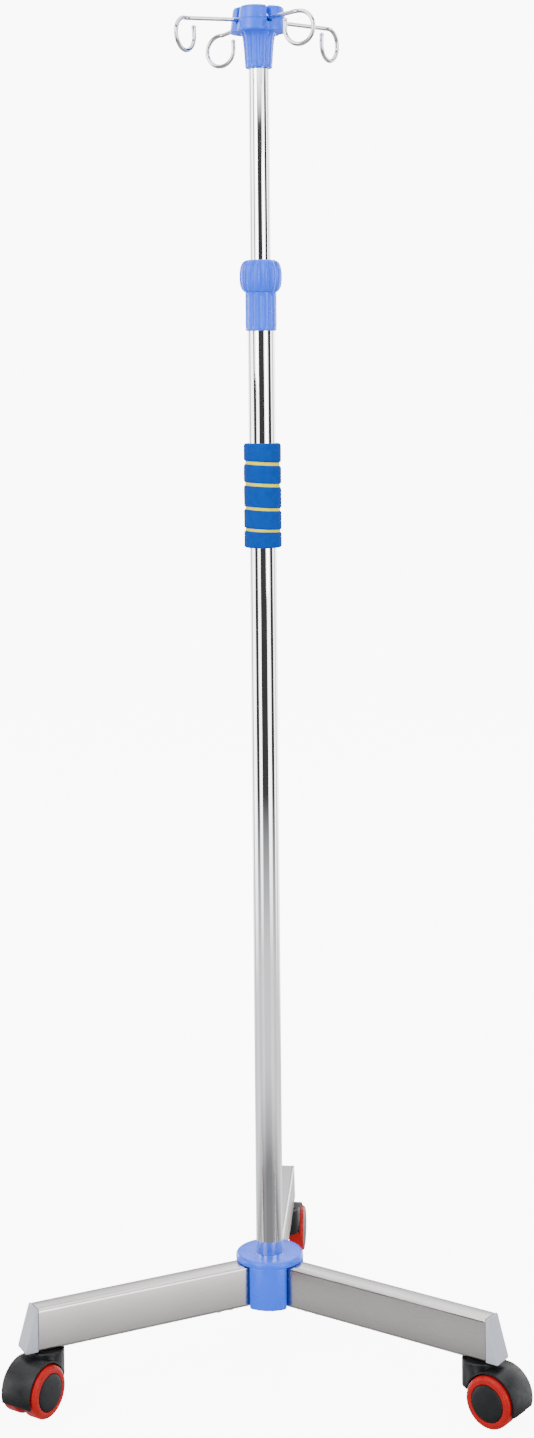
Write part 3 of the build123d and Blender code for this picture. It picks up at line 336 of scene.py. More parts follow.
def rounded(points, steps=5):
    """A closed outline with its corners rounded: each point is (x, y) or (x, y, corner radius)."""
    out = []
    count = len(points)
    for k, point in enumerate(points):
        here = Vector(point[:2])
        radius = point[2] if len(point) > 2 else 0.0
        before = (Vector(points[k - 1][:2]) - here).normalized()
        after = (Vector(points[(k + 1) % count][:2]) - here).normalized()
        turn = math.acos(max(-1.0, min(1.0, before.dot(after))))
        if radius <= 0 or turn > math.pi - 1e-4:
            out.append(tuple(here))
            continue
        reach = radius / math.tan(turn / 2)
        centre = here + (before + after).normalized() * (radius / math.sin(turn / 2))
        first = here + before * reach - centre
        last = here + after * reach - centre
        swing = first.angle_signed(last)
        for step in range(steps + 1):
            spin = Matrix.Rotation(-swing * step / steps, 2)
            out.append(tuple(centre + spin @ first))
    return out


def lathe(profile, segments, closed):
    """Vertices and faces of an outline of (radius, height) turned about +Z.

    A closed outline makes a ring; an open one starts and ends on the axis."""
    verts, faces, rings = [], [], []
    for radius, height in profile:
        if radius < 1e-7:
            rings.append([len(verts)] * segments)
            verts.append((0.0, 0.0, height))
            continue
        start = len(verts)
        for k in range(segments):
            around = 2 * math.pi * k / segments
            verts.append((radius * math.cos(around), radius * math.sin(around), height))
        rings.append(list(range(start, start + segments)))
    pairs = list(zip(rings, rings[1:] + rings[:1])) if closed else list(zip(rings, rings[1:]))
    for low, high in pairs:
        for k in range(segments):
            loop = [low[k], low[(k + 1) % segments], high[(k + 1) % segments], high[k]]
            face = [v for n, v in enumerate(loop) if v != loop[n - 1]]
            if len(face) > 2:
                faces.append(face)
    return verts, faces


def prism(outline, low, high):
    """Vertices and faces of a level outline raised from low to high."""
    count = len(outline)
    verts = [(x, y, low) for x, y in outline] + [(x, y, high) for x, y in outline]
    faces = [list(range(count))[::-1], list(range(count, 2 * count))]
    faces += [[k, (k + 1) % count, count + (k + 1) % count, count + k] for k in range(count)]
    return verts, faces


def frame_at(origin, x_dir, z_dir):
    """Matrix that puts local X and Z along two directions."""
    z = Vector(z_dir).normalized()
    x = Vector(x_dir).normalized()
    y = z.cross(x)
    return Matrix.Translation(origin) @ Matrix((x, y, z)).transposed().to_4x4()


def direction(angle):
    """Level unit vector at an angle in degrees from +X."""
    return Vector((math.cos(math.radians(angle)), math.sin(math.radians(angle)), 0.0))


def make_object(name, verts, faces, place=None):
    """A new linked object with its place in its mesh and its faces outwards."""
    mesh = bpy.data.meshes.new(name)
    mesh.from_pydata([tuple(v) for v in verts], [], faces)
    work = bmesh.new()
    work.from_mesh(mesh)
    bmesh.ops.remove_doubles(work, verts=work.verts, dist=1e-6)
    bmesh.ops.recalc_face_normals(work, faces=work.faces)
    if place is not None:
        work.transform(place)
    work.to_mesh(mesh)
    work.free()
    obj = bpy.data.objects.new(name, mesh)
    bpy.context.scene.collection.objects.link(obj)
    return obj


def plain(obj):
    """Applies every modifier of an object and leaves it a plain mesh."""
    bpy.context.view_layer.update()
    graph = bpy.context.evaluated_depsgraph_get()
    mesh = bpy.data.meshes.new_from_object(obj.evaluated_get(graph), depsgraph=graph)
    obj.modifiers.clear()
    old = obj.data
    obj.data = mesh
    mesh.name = obj.name
    if old.users == 0:
        bpy.data.meshes.remove(old)
    return obj


def softened(obj, width_mm, segments=3, angle=30.0):
    """Rounds the edges sharper than an angle, and applies it."""
    bevel = obj.modifiers.new("edges", "BEVEL")
    bevel.width = width_mm * MM
    bevel.segments = segments
    bevel.limit_method = "ANGLE"
    bevel.angle_limit = math.radians(angle)
    bevel.use_clamp_overlap = True
    return plain(obj)


def shaded(obj, angle=32.0):
    """Smooth shading, with edges sharper than the angle left crisp."""
    work = bmesh.new()
    work.from_mesh(obj.data)
    limit = math.radians(angle)
    for face in work.faces:
        face.smooth = True
    for edge in work.edges:
        edge.smooth = len(edge.link_faces) != 2 or edge.calc_face_angle(0.0) < limit
    work.to_mesh(obj.data)
    work.free()
    return obj


def cad_copy(node, name):
    """A merged copy of a CAD node's mesh, to be finished as a piece of its own."""
    mesh = frame["nodes"][node].data.copy()
    work = bmesh.new()
    work.from_mesh(mesh)
    bmesh.ops.remove_doubles(work, verts=work.verts, dist=2e-6)
    bmesh.ops.dissolve_limit(work, angle_limit=math.radians(0.5), verts=work.verts, edges=work.edges)
    work.to_mesh(mesh)
    work.free()
    obj = bpy.data.objects.new(name, mesh)
    bpy.context.scene.collection.objects.link(obj)
    return obj


def hand_over(obj, slot, body, *replaced):
    """Gives a finished piece its material and its body, and hides the CAD nodes it stands for."""
    obj.data.materials.clear()
    obj.data.materials.append(finishes()[slot])
    for face in obj.data.polygons:
        face.material_index = 0
    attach(obj, body)
    if replaced:
        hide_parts(*replaced)
    return obj


def joint(name):
    """A joint of the frame by its name."""
    return next(j for j in frame["joints"] if j["name"] == name)


# =============================================================================
# geometry node trees
# =============================================================================

def new_tree(name, sockets):
    """A geometry node tree with named inputs, and its two end nodes."""
    tree = bpy.data.node_groups.new(name, "GeometryNodeTree")
    tree.interface.new_socket(name="Geometry", in_out="OUTPUT", socket_type="NodeSocketGeometry")
    tree.interface.new_socket(name="Geometry", in_out="INPUT", socket_type="NodeSocketGeometry")
    for socket_name, kind in sockets.items():
        tree.interface.new_socket(name=socket_name, in_out="INPUT", socket_type=kind)
    return tree, add_node(tree, "NodeGroupInput").outputs


def close_tree(tree, geometry, material):
    """Realize Instances and Set Material, then the tree's output."""
    real = add_node(tree, "GeometryNodeRealizeInstances", None, {"Geometry": geometry})
    dressed = add_node(tree, "GeometryNodeSetMaterial", None,
                       {"Geometry": real.outputs["Geometry"], "Material": material})
    add_node(tree, "NodeGroupOutput", None, {"Geometry": dressed.outputs["Geometry"]})


def run_tree(obj, tree, values):
    """Runs a tree on an object, with its inputs set by their identifiers, and leaves a plain mesh."""
    modifier = obj.modifiers.new(tree.name, "NODES")
    modifier.node_group = tree
    for item in tree.interface.items_tree:
        if item.item_type == "SOCKET" and item.in_out == "INPUT" and item.name in values:
            modifier[item.identifier] = values[item.name]
    return plain(obj)


def ribbing_tree():
    """Presses round-topped ribs into a turned piece, as deep as its 'rib' attribute says."""
    if "Ribbing" in bpy.data.node_groups:
        return bpy.data.node_groups["Ribbing"]
    tree, given = new_tree("Ribbing", {"Ribs": "NodeSocketInt", "Depth": "NodeSocketFloat",
                                       "Phase": "NodeSocketFloat", "Material": "NodeSocketMaterial"})
    here = add_node(tree, "GeometryNodeInputPosition").outputs[0]
    axes = add_node(tree, "ShaderNodeSeparateXYZ", None, {0: here}).outputs
    around = add_node(tree, "ShaderNodeMath", {"operation": "ARCTAN2"},
                      {0: axes["Y"], 1: axes["X"]}).outputs[0]
    shifted = add_node(tree, "ShaderNodeMath", {"operation": "SUBTRACT"},
                       {0: around, 1: given["Phase"]}).outputs[0]
    turns = add_node(tree, "ShaderNodeMath", {"operation": "MULTIPLY"},
                     {0: shifted, 1: given["Ribs"]}).outputs[0]
    half = add_node(tree, "ShaderNodeMath", {"operation": "MULTIPLY"}, {0: turns, 1: 0.5}).outputs[0]
    wave = add_node(tree, "ShaderNodeMath", {"operation": "COSINE"}, {0: half}).outputs[0]
    crest = add_node(tree, "ShaderNodeMath", {"operation": "ABSOLUTE"}, {0: wave}).outputs[0]
    fuller = add_node(tree, "ShaderNodeMath", {"operation": "POWER"}, {0: crest, 1: 0.8}).outputs[0]
    valley = add_node(tree, "ShaderNodeMath", {"operation": "SUBTRACT"}, {0: 1.0, 1: fuller}).outputs[0]
    share = add_node(tree, "GeometryNodeInputNamedAttribute", {"data_type": "FLOAT"}, {"Name": "rib"})
    masked = add_node(tree, "ShaderNodeMath", {"operation": "MULTIPLY"},
                      {0: valley, 1: share.outputs["Attribute"]}).outputs[0]
    depth = add_node(tree, "ShaderNodeMath", {"operation": "MULTIPLY"},
                     {0: masked, 1: given["Depth"]}).outputs[0]
    level = add_node(tree, "ShaderNodeCombineXYZ", None, {"X": axes["X"], "Y": axes["Y"]}).outputs[0]
    outward = add_node(tree, "ShaderNodeVectorMath", {"operation": "NORMALIZE"}, {0: level}).outputs[0]
    inward = add_node(tree, "ShaderNodeMath", {"operation": "MULTIPLY"}, {0: depth, 1: -1.0}).outputs[0]
    push = add_node(tree, "ShaderNodeVectorMath", {"operation": "SCALE"},
                    {0: outward, "Scale": inward}).outputs[0]
    moved = add_node(tree, "GeometryNodeSetPosition", None, {"Geometry": given["Geometry"], "Offset": push})
    close_tree(tree, moved.outputs["Geometry"], given["Material"])
    return tree


def wire_tree():
    """Draws round wire along a polyline, with closed ends."""
    if "Bent wire" in bpy.data.node_groups:
        return bpy.data.node_groups["Bent wire"]
    tree, given = new_tree("Bent wire", {"Radius": "NodeSocketFloat", "Sides": "NodeSocketInt",
                                         "Material": "NodeSocketMaterial"})
    path = add_node(tree, "GeometryNodeMeshToCurve", None, {"Mesh": given["Geometry"]}).outputs[0]
    section = add_node(tree, "GeometryNodeCurvePrimitiveCircle", {"mode": "RADIUS"},
                       {"Resolution": given["Sides"], "Radius": given["Radius"]}).outputs["Curve"]
    skin = add_node(tree, "GeometryNodeCurveToMesh", None,
                    {"Curve": path, "Profile Curve": section, "Fill Caps": True}).outputs["Mesh"]
    close_tree(tree, skin, given["Material"])
    return tree


def around_tree():
    """Repeats a shape in equal steps about an axis through a centre."""
    if "Around an axis" in bpy.data.node_groups:
        return bpy.data.node_groups["Around an axis"]
    tree, given = new_tree("Around an axis", {"Count": "NodeSocketInt", "Centre": "NodeSocketVector",
                                              "Axis": "NodeSocketVector", "Material": "NodeSocketMaterial"})
    back = add_node(tree, "ShaderNodeVectorMath", {"operation": "SCALE"},
                    {0: given["Centre"], "Scale": -1.0}).outputs[0]
    shape = add_node(tree, "GeometryNodeTransform", None,
                     {"Geometry": given["Geometry"], "Translation": back}).outputs["Geometry"]
    points = add_node(tree, "GeometryNodePoints", None,
                      {"Count": given["Count"], "Position": given["Centre"]}).outputs[0]
    number = add_node(tree, "GeometryNodeInputIndex").outputs[0]
    step = add_node(tree, "ShaderNodeMath", {"operation": "DIVIDE"},
                    {0: 2 * math.pi, 1: given["Count"]}).outputs[0]
    angle = add_node(tree, "ShaderNodeMath", {"operation": "MULTIPLY"}, {0: number, 1: step}).outputs[0]
    spin = add_node(tree, "FunctionNodeAxisAngleToRotation", None,
                    {"Axis": given["Axis"], "Angle": angle}).outputs[0]
    copies = add_node(tree, "GeometryNodeInstanceOnPoints", None,
                      {"Points": points, "Instance": shape, "Rotation": spin}).outputs["Instances"]
    close_tree(tree, copies, given["Material"])
    return tree


# =============================================================================
# settings
# =============================================================================

class StandColours(bpy.types.PropertyGroup):
    """Colours of the stand's mouldings, foam and tyres."""
    plastic: bpy.props.FloatVectorProperty(
        name="Plastic", description="Blue mouldings: hub, lock and head",
        subtype="COLOR", default=linear("#1858f4"), min=0, max=1)
    end_cap: bpy.props.FloatVectorProperty(
        name="End caps", description="Grey caps on the legs",
        subtype="COLOR", default=linear("#a9adb8"), min=0, max=1)
    foam: bpy.props.FloatVectorProperty(
        name="Grip bands", description="Outer foam of the grip",
        subtype="COLOR", default=linear("#033e94"), min=0, max=1)
    foam_core: bpy.props.FloatVectorProperty(
        name="Grip core", description="Foam that shows in the grip's grooves",
        subtype="COLOR", default=linear("#e6da1c"), min=0, max=1)
    tyre: bpy.props.FloatVectorProperty(
        name="Tyres", description="Polyurethane of the tyres",
        subtype="COLOR", default=linear("#980300"), min=0, max=1)
    hood: bpy.props.FloatVectorProperty(
        name="Hoods", description="Nylon of the hoods, cores and hub caps",
        subtype="COLOR", default=linear("#0a0b0d"), min=0, max=1)


class StandDetail(bpy.types.PropertyGroup):
    """Sizes of the stand's details."""
    nut_ribs: bpy.props.IntProperty(
        name="Nut ribs", description="Ribs round the lock's nut", default=14, min=6, max=40)
    collar_ribs: bpy.props.IntProperty(
        name="Collar ribs", description="Ribs round the lock's collar", default=10, min=4, max=40)
    skirt_ribs: bpy.props.IntProperty(
        name="Skirt ribs", description="Ribs round the head's skirt", default=10, min=4, max=40)
    nut_rib_depth: bpy.props.FloatProperty(
        name="Nut rib depth", description="Depth between two ribs of the nut",
        default=2.2 * MM, min=0, max=4 * MM, unit="LENGTH", precision=4)
    collar_rib_depth: bpy.props.FloatProperty(
        name="Collar rib depth", description="Depth between two ribs of the collar",
        default=1.3 * MM, min=0, max=3 * MM, unit="LENGTH", precision=4)
    skirt_rib_depth: bpy.props.FloatProperty(
        name="Skirt rib depth", description="Depth between two ribs of the skirt",
        default=2.0 * MM, min=0, max=3 * MM, unit="LENGTH", precision=4)
    rib_phase: bpy.props.FloatProperty(
        name="Rib phase", description="Where the first rib stands",
        default=math.radians(-97.0), unit="ROTATION")
    band_tilt: bpy.props.FloatProperty(
        name="Band tilt", description="Tilt of the grip's grooves from level",
        default=math.radians(3.5), unit="ROTATION")
    wheel_spokes: bpy.props.IntProperty(
        name="Wheel spokes", description="Spokes behind each wheel", default=9, min=3, max=24)


class StandStage(bpy.types.PropertyGroup):
    """Camera and light."""
    distance: bpy.props.FloatProperty(
        name="Distance", description="Camera from the pole's axis, along the floor",
        default=2.0054, unit="LENGTH")
    height: bpy.props.FloatProperty(
        name="Height", description="Camera above the floor", default=0.9101, unit="LENGTH")
    azimuth: bpy.props.FloatProperty(
        name="Azimuth", description="Camera round the stand from -Y towards +X",
        default=math.radians(4.1), unit="ROTATION")
    roll: bpy.props.FloatProperty(
        name="Roll", description="Camera roll", default=-0.0092, unit="ROTATION")
    lens: bpy.props.FloatProperty(
        name="Lens", description="Focal length on a 36 mm sensor", default=53.48, unit="CAMERA")
    key: bpy.props.FloatProperty(
        name="Key light", description="Power of the key light", default=60.0, unit="POWER")
    room: bpy.props.FloatProperty(
        name="Room light", description="Light that the room gives", default=1.4, min=0)
    mirrored: bpy.props.FloatProperty(
        name="Mirrored room", description="Brightness of the room where it mirrors in metal",
        default=7.0, min=0)
    backdrop: bpy.props.FloatProperty(
        name="Backdrop", description="Brightness of the backdrop itself", default=9.6, min=0)


# =============================================================================
# pieces
# =============================================================================

class STAND_OT_pole(bpy.types.Operator):
    """Builds the two polished tubes."""
    bl_idname = "stand.pole"
    bl_label = "Pole tubes"

    def execute(self, context):
        for node, name, body, wall in (("lower_tube", "pole_lower", "base", 1.0 * MM),
                                       ("upper_tube", "pole_upper", "mast", 1.0 * MM)):
            low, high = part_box(node)
            outer = (high.x - low.x) / 2
            rim = 0.25 * MM
            outline = rounded([(outer, low.z, rim), (outer, high.z, rim),
                               (outer - wall, high.z, rim), (outer - wall, low.z, rim)], 3)
            tube = make_object(name, *lathe(outline, 128, True))
            hand_over(shaded(tube, 50), "polished_tube", body, node)
        return {"FINISHED"}


class STAND_OT_grip(bpy.types.Operator):
    """Builds the foam grip: a core with tilted grooves between puffed bands."""
    bl_idname = "stand.grip"
    bl_label = "Foam grip"

    def execute(self, context):
        low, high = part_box("grip_bands")
        inner = (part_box("lower_tube")[1].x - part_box("lower_tube")[0].x) / 2 + 0.05 * MM
        outer = (high.x - low.x) / 2
        core = (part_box("grip_core")[1].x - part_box("grip_core")[0].x) / 2
        # heights of the grooves' middles over the grip's foot, and their widths
        grooves = [g * MM for g in (16.5, 36.5, 59.0, 79.0)]
        widths = [w * MM for w in (1.8, 2.0, 2.4, 2.4)]
        puff = 2.4 * MM
        tilt = math.tan(context.scene.stand_detail.band_tilt)
        side = direction(BAND_TILT_SIDE)
        unevenness, lump, end_share = 0.22 * MM, 90.0, 5.0

        def tilted(obj):
            """Leans the grooves a little, keeps the ends level, and gives the foam its slight unevenness."""
            for vert in obj.data.vertices:
                height = (vert.co.z - low.z) / (high.z - low.z)
                ends = min(1.0, end_share * min(height, 1.0 - height))
                lean = vert.co.dot(side) * tilt * max(0.0, ends)
                rough = noise.noise(vert.co * lump) * unevenness
                out = Vector((vert.co.x, vert.co.y, 0.0))
                if out.length > inner + 0.3 * MM:
                    vert.co += out.normalized() * rough
                vert.co.z += -lean
            return obj

        core_rim, core_in, inner_rim = 1.6 * MM, 0.4 * MM, 0.3 * MM
        edges = [(inner, low.z, inner_rim), (core, low.z + core_in, core_rim),
                 (core, high.z - core_in, core_rim), (inner, high.z, inner_rim)]
        outline = rounded(edges, 5)
        yellow = make_object("grip_core_foam", *lathe(outline, 96, True))
        hand_over(shaded(tilted(yellow), 50), "yellow_foam", "base", "grip_core")

        edges = [0.0] + grooves + [high.z - low.z]
        verts, faces = [], []
        for number in range(len(edges) - 1):
            start = low.z + edges[number] + (widths[number - 1] / 2 if number else 0.0)
            end = low.z + edges[number + 1] - (widths[number] / 2 if number < len(widths) else 0.0)
            outline = rounded([(inner + 0.6 * MM, start), (outer, start, puff),
                               (outer, end, puff), (inner + 0.6 * MM, end)], 7)
            # extra rings along the band let the unevenness show
            band_verts, band_faces = lathe(refined(outline, 2.0 * MM), 96, True)
            faces += [[v + len(verts) for v in face] for face in band_faces]
            verts += band_verts
        bands = make_object("grip_band_foam", verts, faces)
        hand_over(shaded(tilted(bands), 50), "blue_foam", "base", "grip_bands")
        return {"FINISHED"}


def ribbed_turning(name, outline, rib_share, count, depth, phase, slot):
    """A closed outline turned about the pole, with ribs as deep as rib_share says at each outline point."""
    segments = count * 24
    verts, faces = lathe(outline, segments, True)
    obj = make_object(name, verts, faces)
    rib = obj.data.attributes.new("rib", "FLOAT", "POINT")
    for vert in obj.data.vertices:
        radius = math.hypot(vert.co.x, vert.co.y)
        rib.data[vert.index].value = rib_share(radius, vert.co.z)
    run_tree(obj, ribbing_tree(), {"Ribs": count, "Depth": depth, "Phase": phase,
                                   "Material": finishes()[slot]})
    return shaded(obj, 42)


class STAND_OT_lock(bpy.types.Operator):
    """Builds the twist lock's collar and nut."""
    bl_idname = "stand.lock"
    bl_label = "Twist lock"

    def execute(self, context):
        detail = context.scene.stand_detail
        low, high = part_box("lock_collar")
        tube = (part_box("lower_tube")[1].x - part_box("lower_tube")[0].x) / 2
        neck = 14.0 * MM
        shoulder = high.z - 16.0 * MM
        outer = 14.75 * MM
        # the neck's bore narrows from its mouth, then opens to the tube's; the foot tapers a little
        mouth, throat, taper = 11.2 * MM, 10.4 * MM, 6 * MM
        outline = rounded([(tube, low.z, 0.4 * MM), (outer - 0.2 * MM, low.z, 1.0 * MM),
                           (outer, low.z + taper), (outer, shoulder, 0.8 * MM),
                           (neck, shoulder), (neck, high.z, 0.5 * MM), (mouth, high.z, 0.4 * MM),
                           (throat, shoulder), (tube, shoulder - taper)], 5)
        # plain rims above and below the ribs, and how far the ribs take to reach their depth
        foot_rim, foot_run = 0.8 * MM, 3.0 * MM
        top_rim, top_run = 0.6 * MM, 2.0 * MM

        def collar_share(radius, height):
            if radius < neck - 0.05 * MM or height > shoulder + 0.1 * MM:
                return 0.0
            low_end = (height - low.z - foot_rim) / foot_run
            high_end = (shoulder - height - top_rim) / top_run
            return max(0.0, min(1.0, low_end, high_end))

        fine = refined(outline, 1.5 * MM)
        collar = ribbed_turning("lock_collar_moulding", fine, collar_share, detail.collar_ribs,
                                detail.collar_rib_depth, detail.rib_phase, "blue_plastic")
        hand_over(collar, "blue_plastic", "base", "lock_collar")

        low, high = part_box("lock_nut")
        height = high.z - low.z
        bore = 9.95 * MM
        inside = 14.15 * MM
        seat = high.z - 11.3 * MM
        top_face = 13.0 * MM
        outer_line = [(radius * MM, low.z + share * height) for share, radius in NUT_BULB]
        outline = outer_line + [(bore + 0.6 * MM, high.z), (bore, high.z - 0.6 * MM), (bore, seat),
                                (inside, seat), (inside, low.z)]

        def nut_share(radius, z):
            if radius < inside + 0.1 * MM and z < high.z - 2.0 * MM or radius < top_face:
                return 0.0
            # shares of the height in which the ribs reach their depth, and their depth at the very ends
            share = (z - low.z) / height
            return max(0.0, min(1.0, share / 0.16 + 0.12, (1.0 - share) / 0.12 + 0.1))

        nut = ribbed_turning("lock_nut_moulding", refined(outline, 1.2 * MM), nut_share, detail.nut_ribs,
                             detail.nut_rib_depth, detail.rib_phase, "blue_plastic")
        hand_over(nut, "blue_plastic", "nut", "lock_nut")
        return {"FINISHED"}


def refined(outline, step):
    """A closed outline with its long sides divided."""
    fine = []
    for k, point in enumerate(outline):
        after = Vector(outline[(k + 1) % len(outline)])
        here = Vector(point)
        pieces = max(1, int((after - here).length / step))
        fine += [tuple(here.lerp(after, n / pieces)) for n in range(pieces)]
    return fine


class STAND_OT_head(bpy.types.Operator):
    """Builds the head: the lobed block in two halves and its ribbed skirt."""
    bl_idname = "stand.head"
    bl_label = "Head"

    def execute(self, context):
        detail = context.scene.stand_detail
        body_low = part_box("head_body")[0]
        cap_low, cap_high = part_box("head_cap")
        parting = cap_low.z
        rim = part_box("head_cap_screw")[0].z + 0.5 * MM
        hooks = [hook_frame(number)[1] for number in HOOKS]     # which way each arm points
        lobe, offset = 17.0 * MM, 10.5 * MM
        draft = math.tan(math.radians(8.0))
        height = cap_high.z - rim
        segments = 192

        def outline_radius(around):
            """Union of the four lobes, from the pole's axis."""
            best = 0.0
            for hook in hooks:
                middle = math.atan2(hook.y, hook.x) + math.pi / 4
                gap = math.sin(around - middle) * offset
                if abs(gap) < lobe:
                    best = max(best, math.cos(around - middle) * offset + math.sqrt(lobe ** 2 - gap ** 2))
            return best

        def block_verts(levels):
            """Rings of the lobed block: each level is (height above the rim, inset, share of the radius)."""
            verts = []
            for z, inset, share in levels:
                for k in range(segments):
                    around = 2 * math.pi * k / segments
                    radius = (outline_radius(around) - inset) * share
                    verts.append((radius * math.cos(around), radius * math.sin(around), z))
            return verts

        def block(name, levels, close_low, close_high):
            verts = block_verts(levels)
            faces = []
            for level in range(len(levels) - 1):
                for k in range(segments):
                    a, b = level * segments + k, level * segments + (k + 1) % segments
                    faces.append([a, b, b + segments, a + segments])
            for close, first in ((close_low, 0), (close_high, (len(levels) - 1) * segments)):
                if close:
                    faces.append([first + k for k in range(segments)])
            return make_object(name, verts, faces)

        edge = 3.0 * MM
        cap_levels = [(parting + 0.05 * MM, (parting - rim) * draft + 0.12 * MM, 1.0),
                      (parting + 0.17 * MM, (parting - rim) * draft, 1.0)]
        for step in range(5):
            z = parting + 0.17 * MM + (height - (parting - rim) - edge - 0.17 * MM) * (step + 1) / 5
            cap_levels.append((z, (z - rim) * draft, 1.0))
        top_inset = (height - edge) * draft
        for step in range(1, 7):
            bend = math.radians(90 * step / 6)
            inset = top_inset + edge * (1 - math.cos(bend)) + edge * math.sin(bend) * draft * 0.3
            cap_levels.append((cap_high.z - edge + edge * math.sin(bend), inset, 1.0))
        last_inset = cap_levels[-1][1]
        for share in CAP_TOP_SHARES:
            cap_levels.append((cap_high.z, last_inset, share))
        cap = block("head_cap_moulding", cap_levels, True, True)

        foot = 1.2 * MM
        low_levels = [(rim, 10.0 * MM, 1.0), (rim, 1.6 * MM, 1.0)]
        for step in range(1, 5):
            bend = math.radians(90 * step / 4)
            inset = foot * (1 - math.sin(bend)) + 0.1 * MM
            low_levels.append((rim + foot * (1 - math.cos(bend)), inset, 1.0))
        for step in range(1, 5):
            z = rim + foot + (parting - rim - 1.32 * MM) * step / 4
            low_levels.append((z, (z - rim) * draft, 1.0))
        low_levels.append((parting - 0.05 * MM, (parting - rim) * draft + 0.12 * MM, 1.0))
        base = block("head_block_moulding", low_levels, True, True)

        pockets = []
        slot_start, half_slot = 7.9 * MM, 2.4 * MM
        screw_room, screw_deep = 5.7 * MM, 5 * MM
        for hook in hooks:
            slot_place = frame_at(Vector((0, 0, 0)), hook, UP)
            # a shallow slot for the arm and a deeper one for the eye
            for slot_end, floor in ((45.0 * MM, parting - 3.3 * MM), (20.1 * MM, parting - 6.3 * MM)):
                box = [(slot_start, -half_slot), (slot_end, -half_slot), (slot_end, half_slot),
                       (slot_start, half_slot)]
                pockets.append(make_object("pocket", *prism(box, floor, cap_high.z + 0.03), slot_place))
        well = [(0, cap_high.z - screw_deep), (screw_room, cap_high.z - screw_deep),
                (screw_room, cap_high.z + screw_deep), (0, cap_high.z + screw_deep)]
        screw = make_object("pocket", *lathe(well, 48, False))
        for piece in (cap, base):
            for cutter in pockets + ([screw] if piece is cap else []):
                cut = piece.modifiers.new("cut", "BOOLEAN")
                cut.operation = "DIFFERENCE"
                cut.object = cutter
                cut.solver = "EXACT"
            plain(piece)
            softened(piece, 0.35, 2, 35)
        for cutter in pockets + [screw]:
            bpy.data.objects.remove(cutter)
        hand_over(shaded(cap, 35), "blue_plastic", "mast", "head_cap")

        tube = (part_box("upper_tube")[1].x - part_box("upper_tube")[0].x) / 2
        skirt_low, skirt_top = 12.75 * MM, 16.0 * MM
        foot_rim, foot_run = 0.2 * MM, 5 * MM
        length = rim - body_low.z
        line = [(tube, body_low.z, 0.4 * MM), (skirt_low, body_low.z, 0.9 * MM)]
        for step in range(1, 9):
            share = step / 9
            flare = share + 0.35 * share ** 4 - 0.35 * share
            line.append((skirt_low + (skirt_top - skirt_low) * flare, body_low.z + length * share))
        line += [(skirt_top + 1.2 * MM, rim + 0.3 * MM), (tube, rim + 0.3 * MM)]

        def skirt_share(radius, z):
            if radius < tube + 1.2 * MM:
                return 0.0
            # shallower at the foot, and full at the block
            fade = max(0.0, min(1.0, (z - body_low.z - foot_rim) / foot_run + 0.35))
            return fade * (0.55 + 0.45 * (z - body_low.z) / length)

        skirt = ribbed_turning("head_skirt_moulding", refined(rounded(line, 4), 1.2 * MM), skirt_share,
                               detail.skirt_ribs, detail.skirt_rib_depth, detail.rib_phase, "blue_plastic")
        hand_over(shaded(base, 35), "blue_plastic", "mast", "head_body")
        hand_over(skirt, "blue_plastic", "mast", "head_body")
        return {"FINISHED"}


def hook_frame(number):
    """A hook's pivot and its arm's level direction."""
    hinge = joint(f"hook_{number}_fold")
    axis = Vector(hinge["axis"])
    return Vector(hinge["pos_m"]), Vector((-axis.y, axis.x, 0.0)).normalized()


class STAND_OT_hooks(bpy.types.Operator):
    """Bends the four wire hooks."""
    bl_idname = "stand.hooks"
    bl_label = "Wire hooks"

    def execute(self, context):
        wire, eye, bend_r, loop_r = 2.0 * MM, 3.75 * MM, 12.0 * MM, 15.0 * MM
        reach, turn, droop, tip_rise = 57.5 * MM, math.radians(31.0), math.radians(2.3), 7.5 * MM
        eye_wire, tip_ball = 2.15 * MM, 2.3 * MM
        for number in HOOKS:
            pivot, arm = hook_frame(number)
            across = UP.cross(arm)
            along = arm * math.cos(droop) - UP * math.sin(droop)
            rise = along.cross(across)
            place = Matrix.Translation(pivot) @ Matrix((along, across, rise)).transposed().to_4x4()
            heading = Vector((math.cos(turn), math.sin(turn), 0.0))
            path = [Vector((eye + (reach - eye) * k / 12, 0, 0)) for k in range(13)]
            for k in range(1, 9):
                swing = turn * k / 8
                path.append(Vector((reach + bend_r * math.sin(swing), bend_r * (1 - math.cos(swing)), 0)))
            middle = path[-1] - Vector((0, 0, loop_r))
            for k in range(1, 55):
                swing = math.radians(270.0 * k / 54)
                path.append(middle + heading * (loop_r * math.sin(swing))
                            + Vector((0, 0, loop_r * math.cos(swing))))
            path += [path[-1] + Vector((0, 0, tip_rise * k / 5)) for k in range(1, 6)]
            mesh = bpy.data.meshes.new("path")
            links = [(k, k + 1) for k in range(len(path) - 1)]
            mesh.from_pydata([tuple(place @ p) for p in path], links, [])
            obj = bpy.data.objects.new(f"hook_wire_{number}", mesh)
            context.scene.collection.objects.link(obj)
            run_tree(obj, wire_tree(), {"Radius": wire, "Sides": 24, "Material": finishes()["chromed_wire"]})

            ring = []
            for k in range(20):
                swing = 2 * math.pi * k / 20
                ring.append((eye + eye_wire * math.cos(swing), eye_wire * math.sin(swing)))
            eye_place = frame_at(pivot, along, across)
            dips = [math.pi * k / 14 for k in range(15)]
            ball = [(tip_ball * math.sin(dip), tip_ball * -math.cos(dip)) for dip in dips]
            ball_place = place @ Matrix.Translation(path[-1])
            joined(obj, make_object("part", *lathe(ring, 48, True), eye_place),
                   make_object("part", *lathe(ball, 24, False), ball_place))
            hand_over(shaded(obj, 60), "chromed_wire", f"hook_{number}", f"hook_{number}")
        return {"FINISHED"}


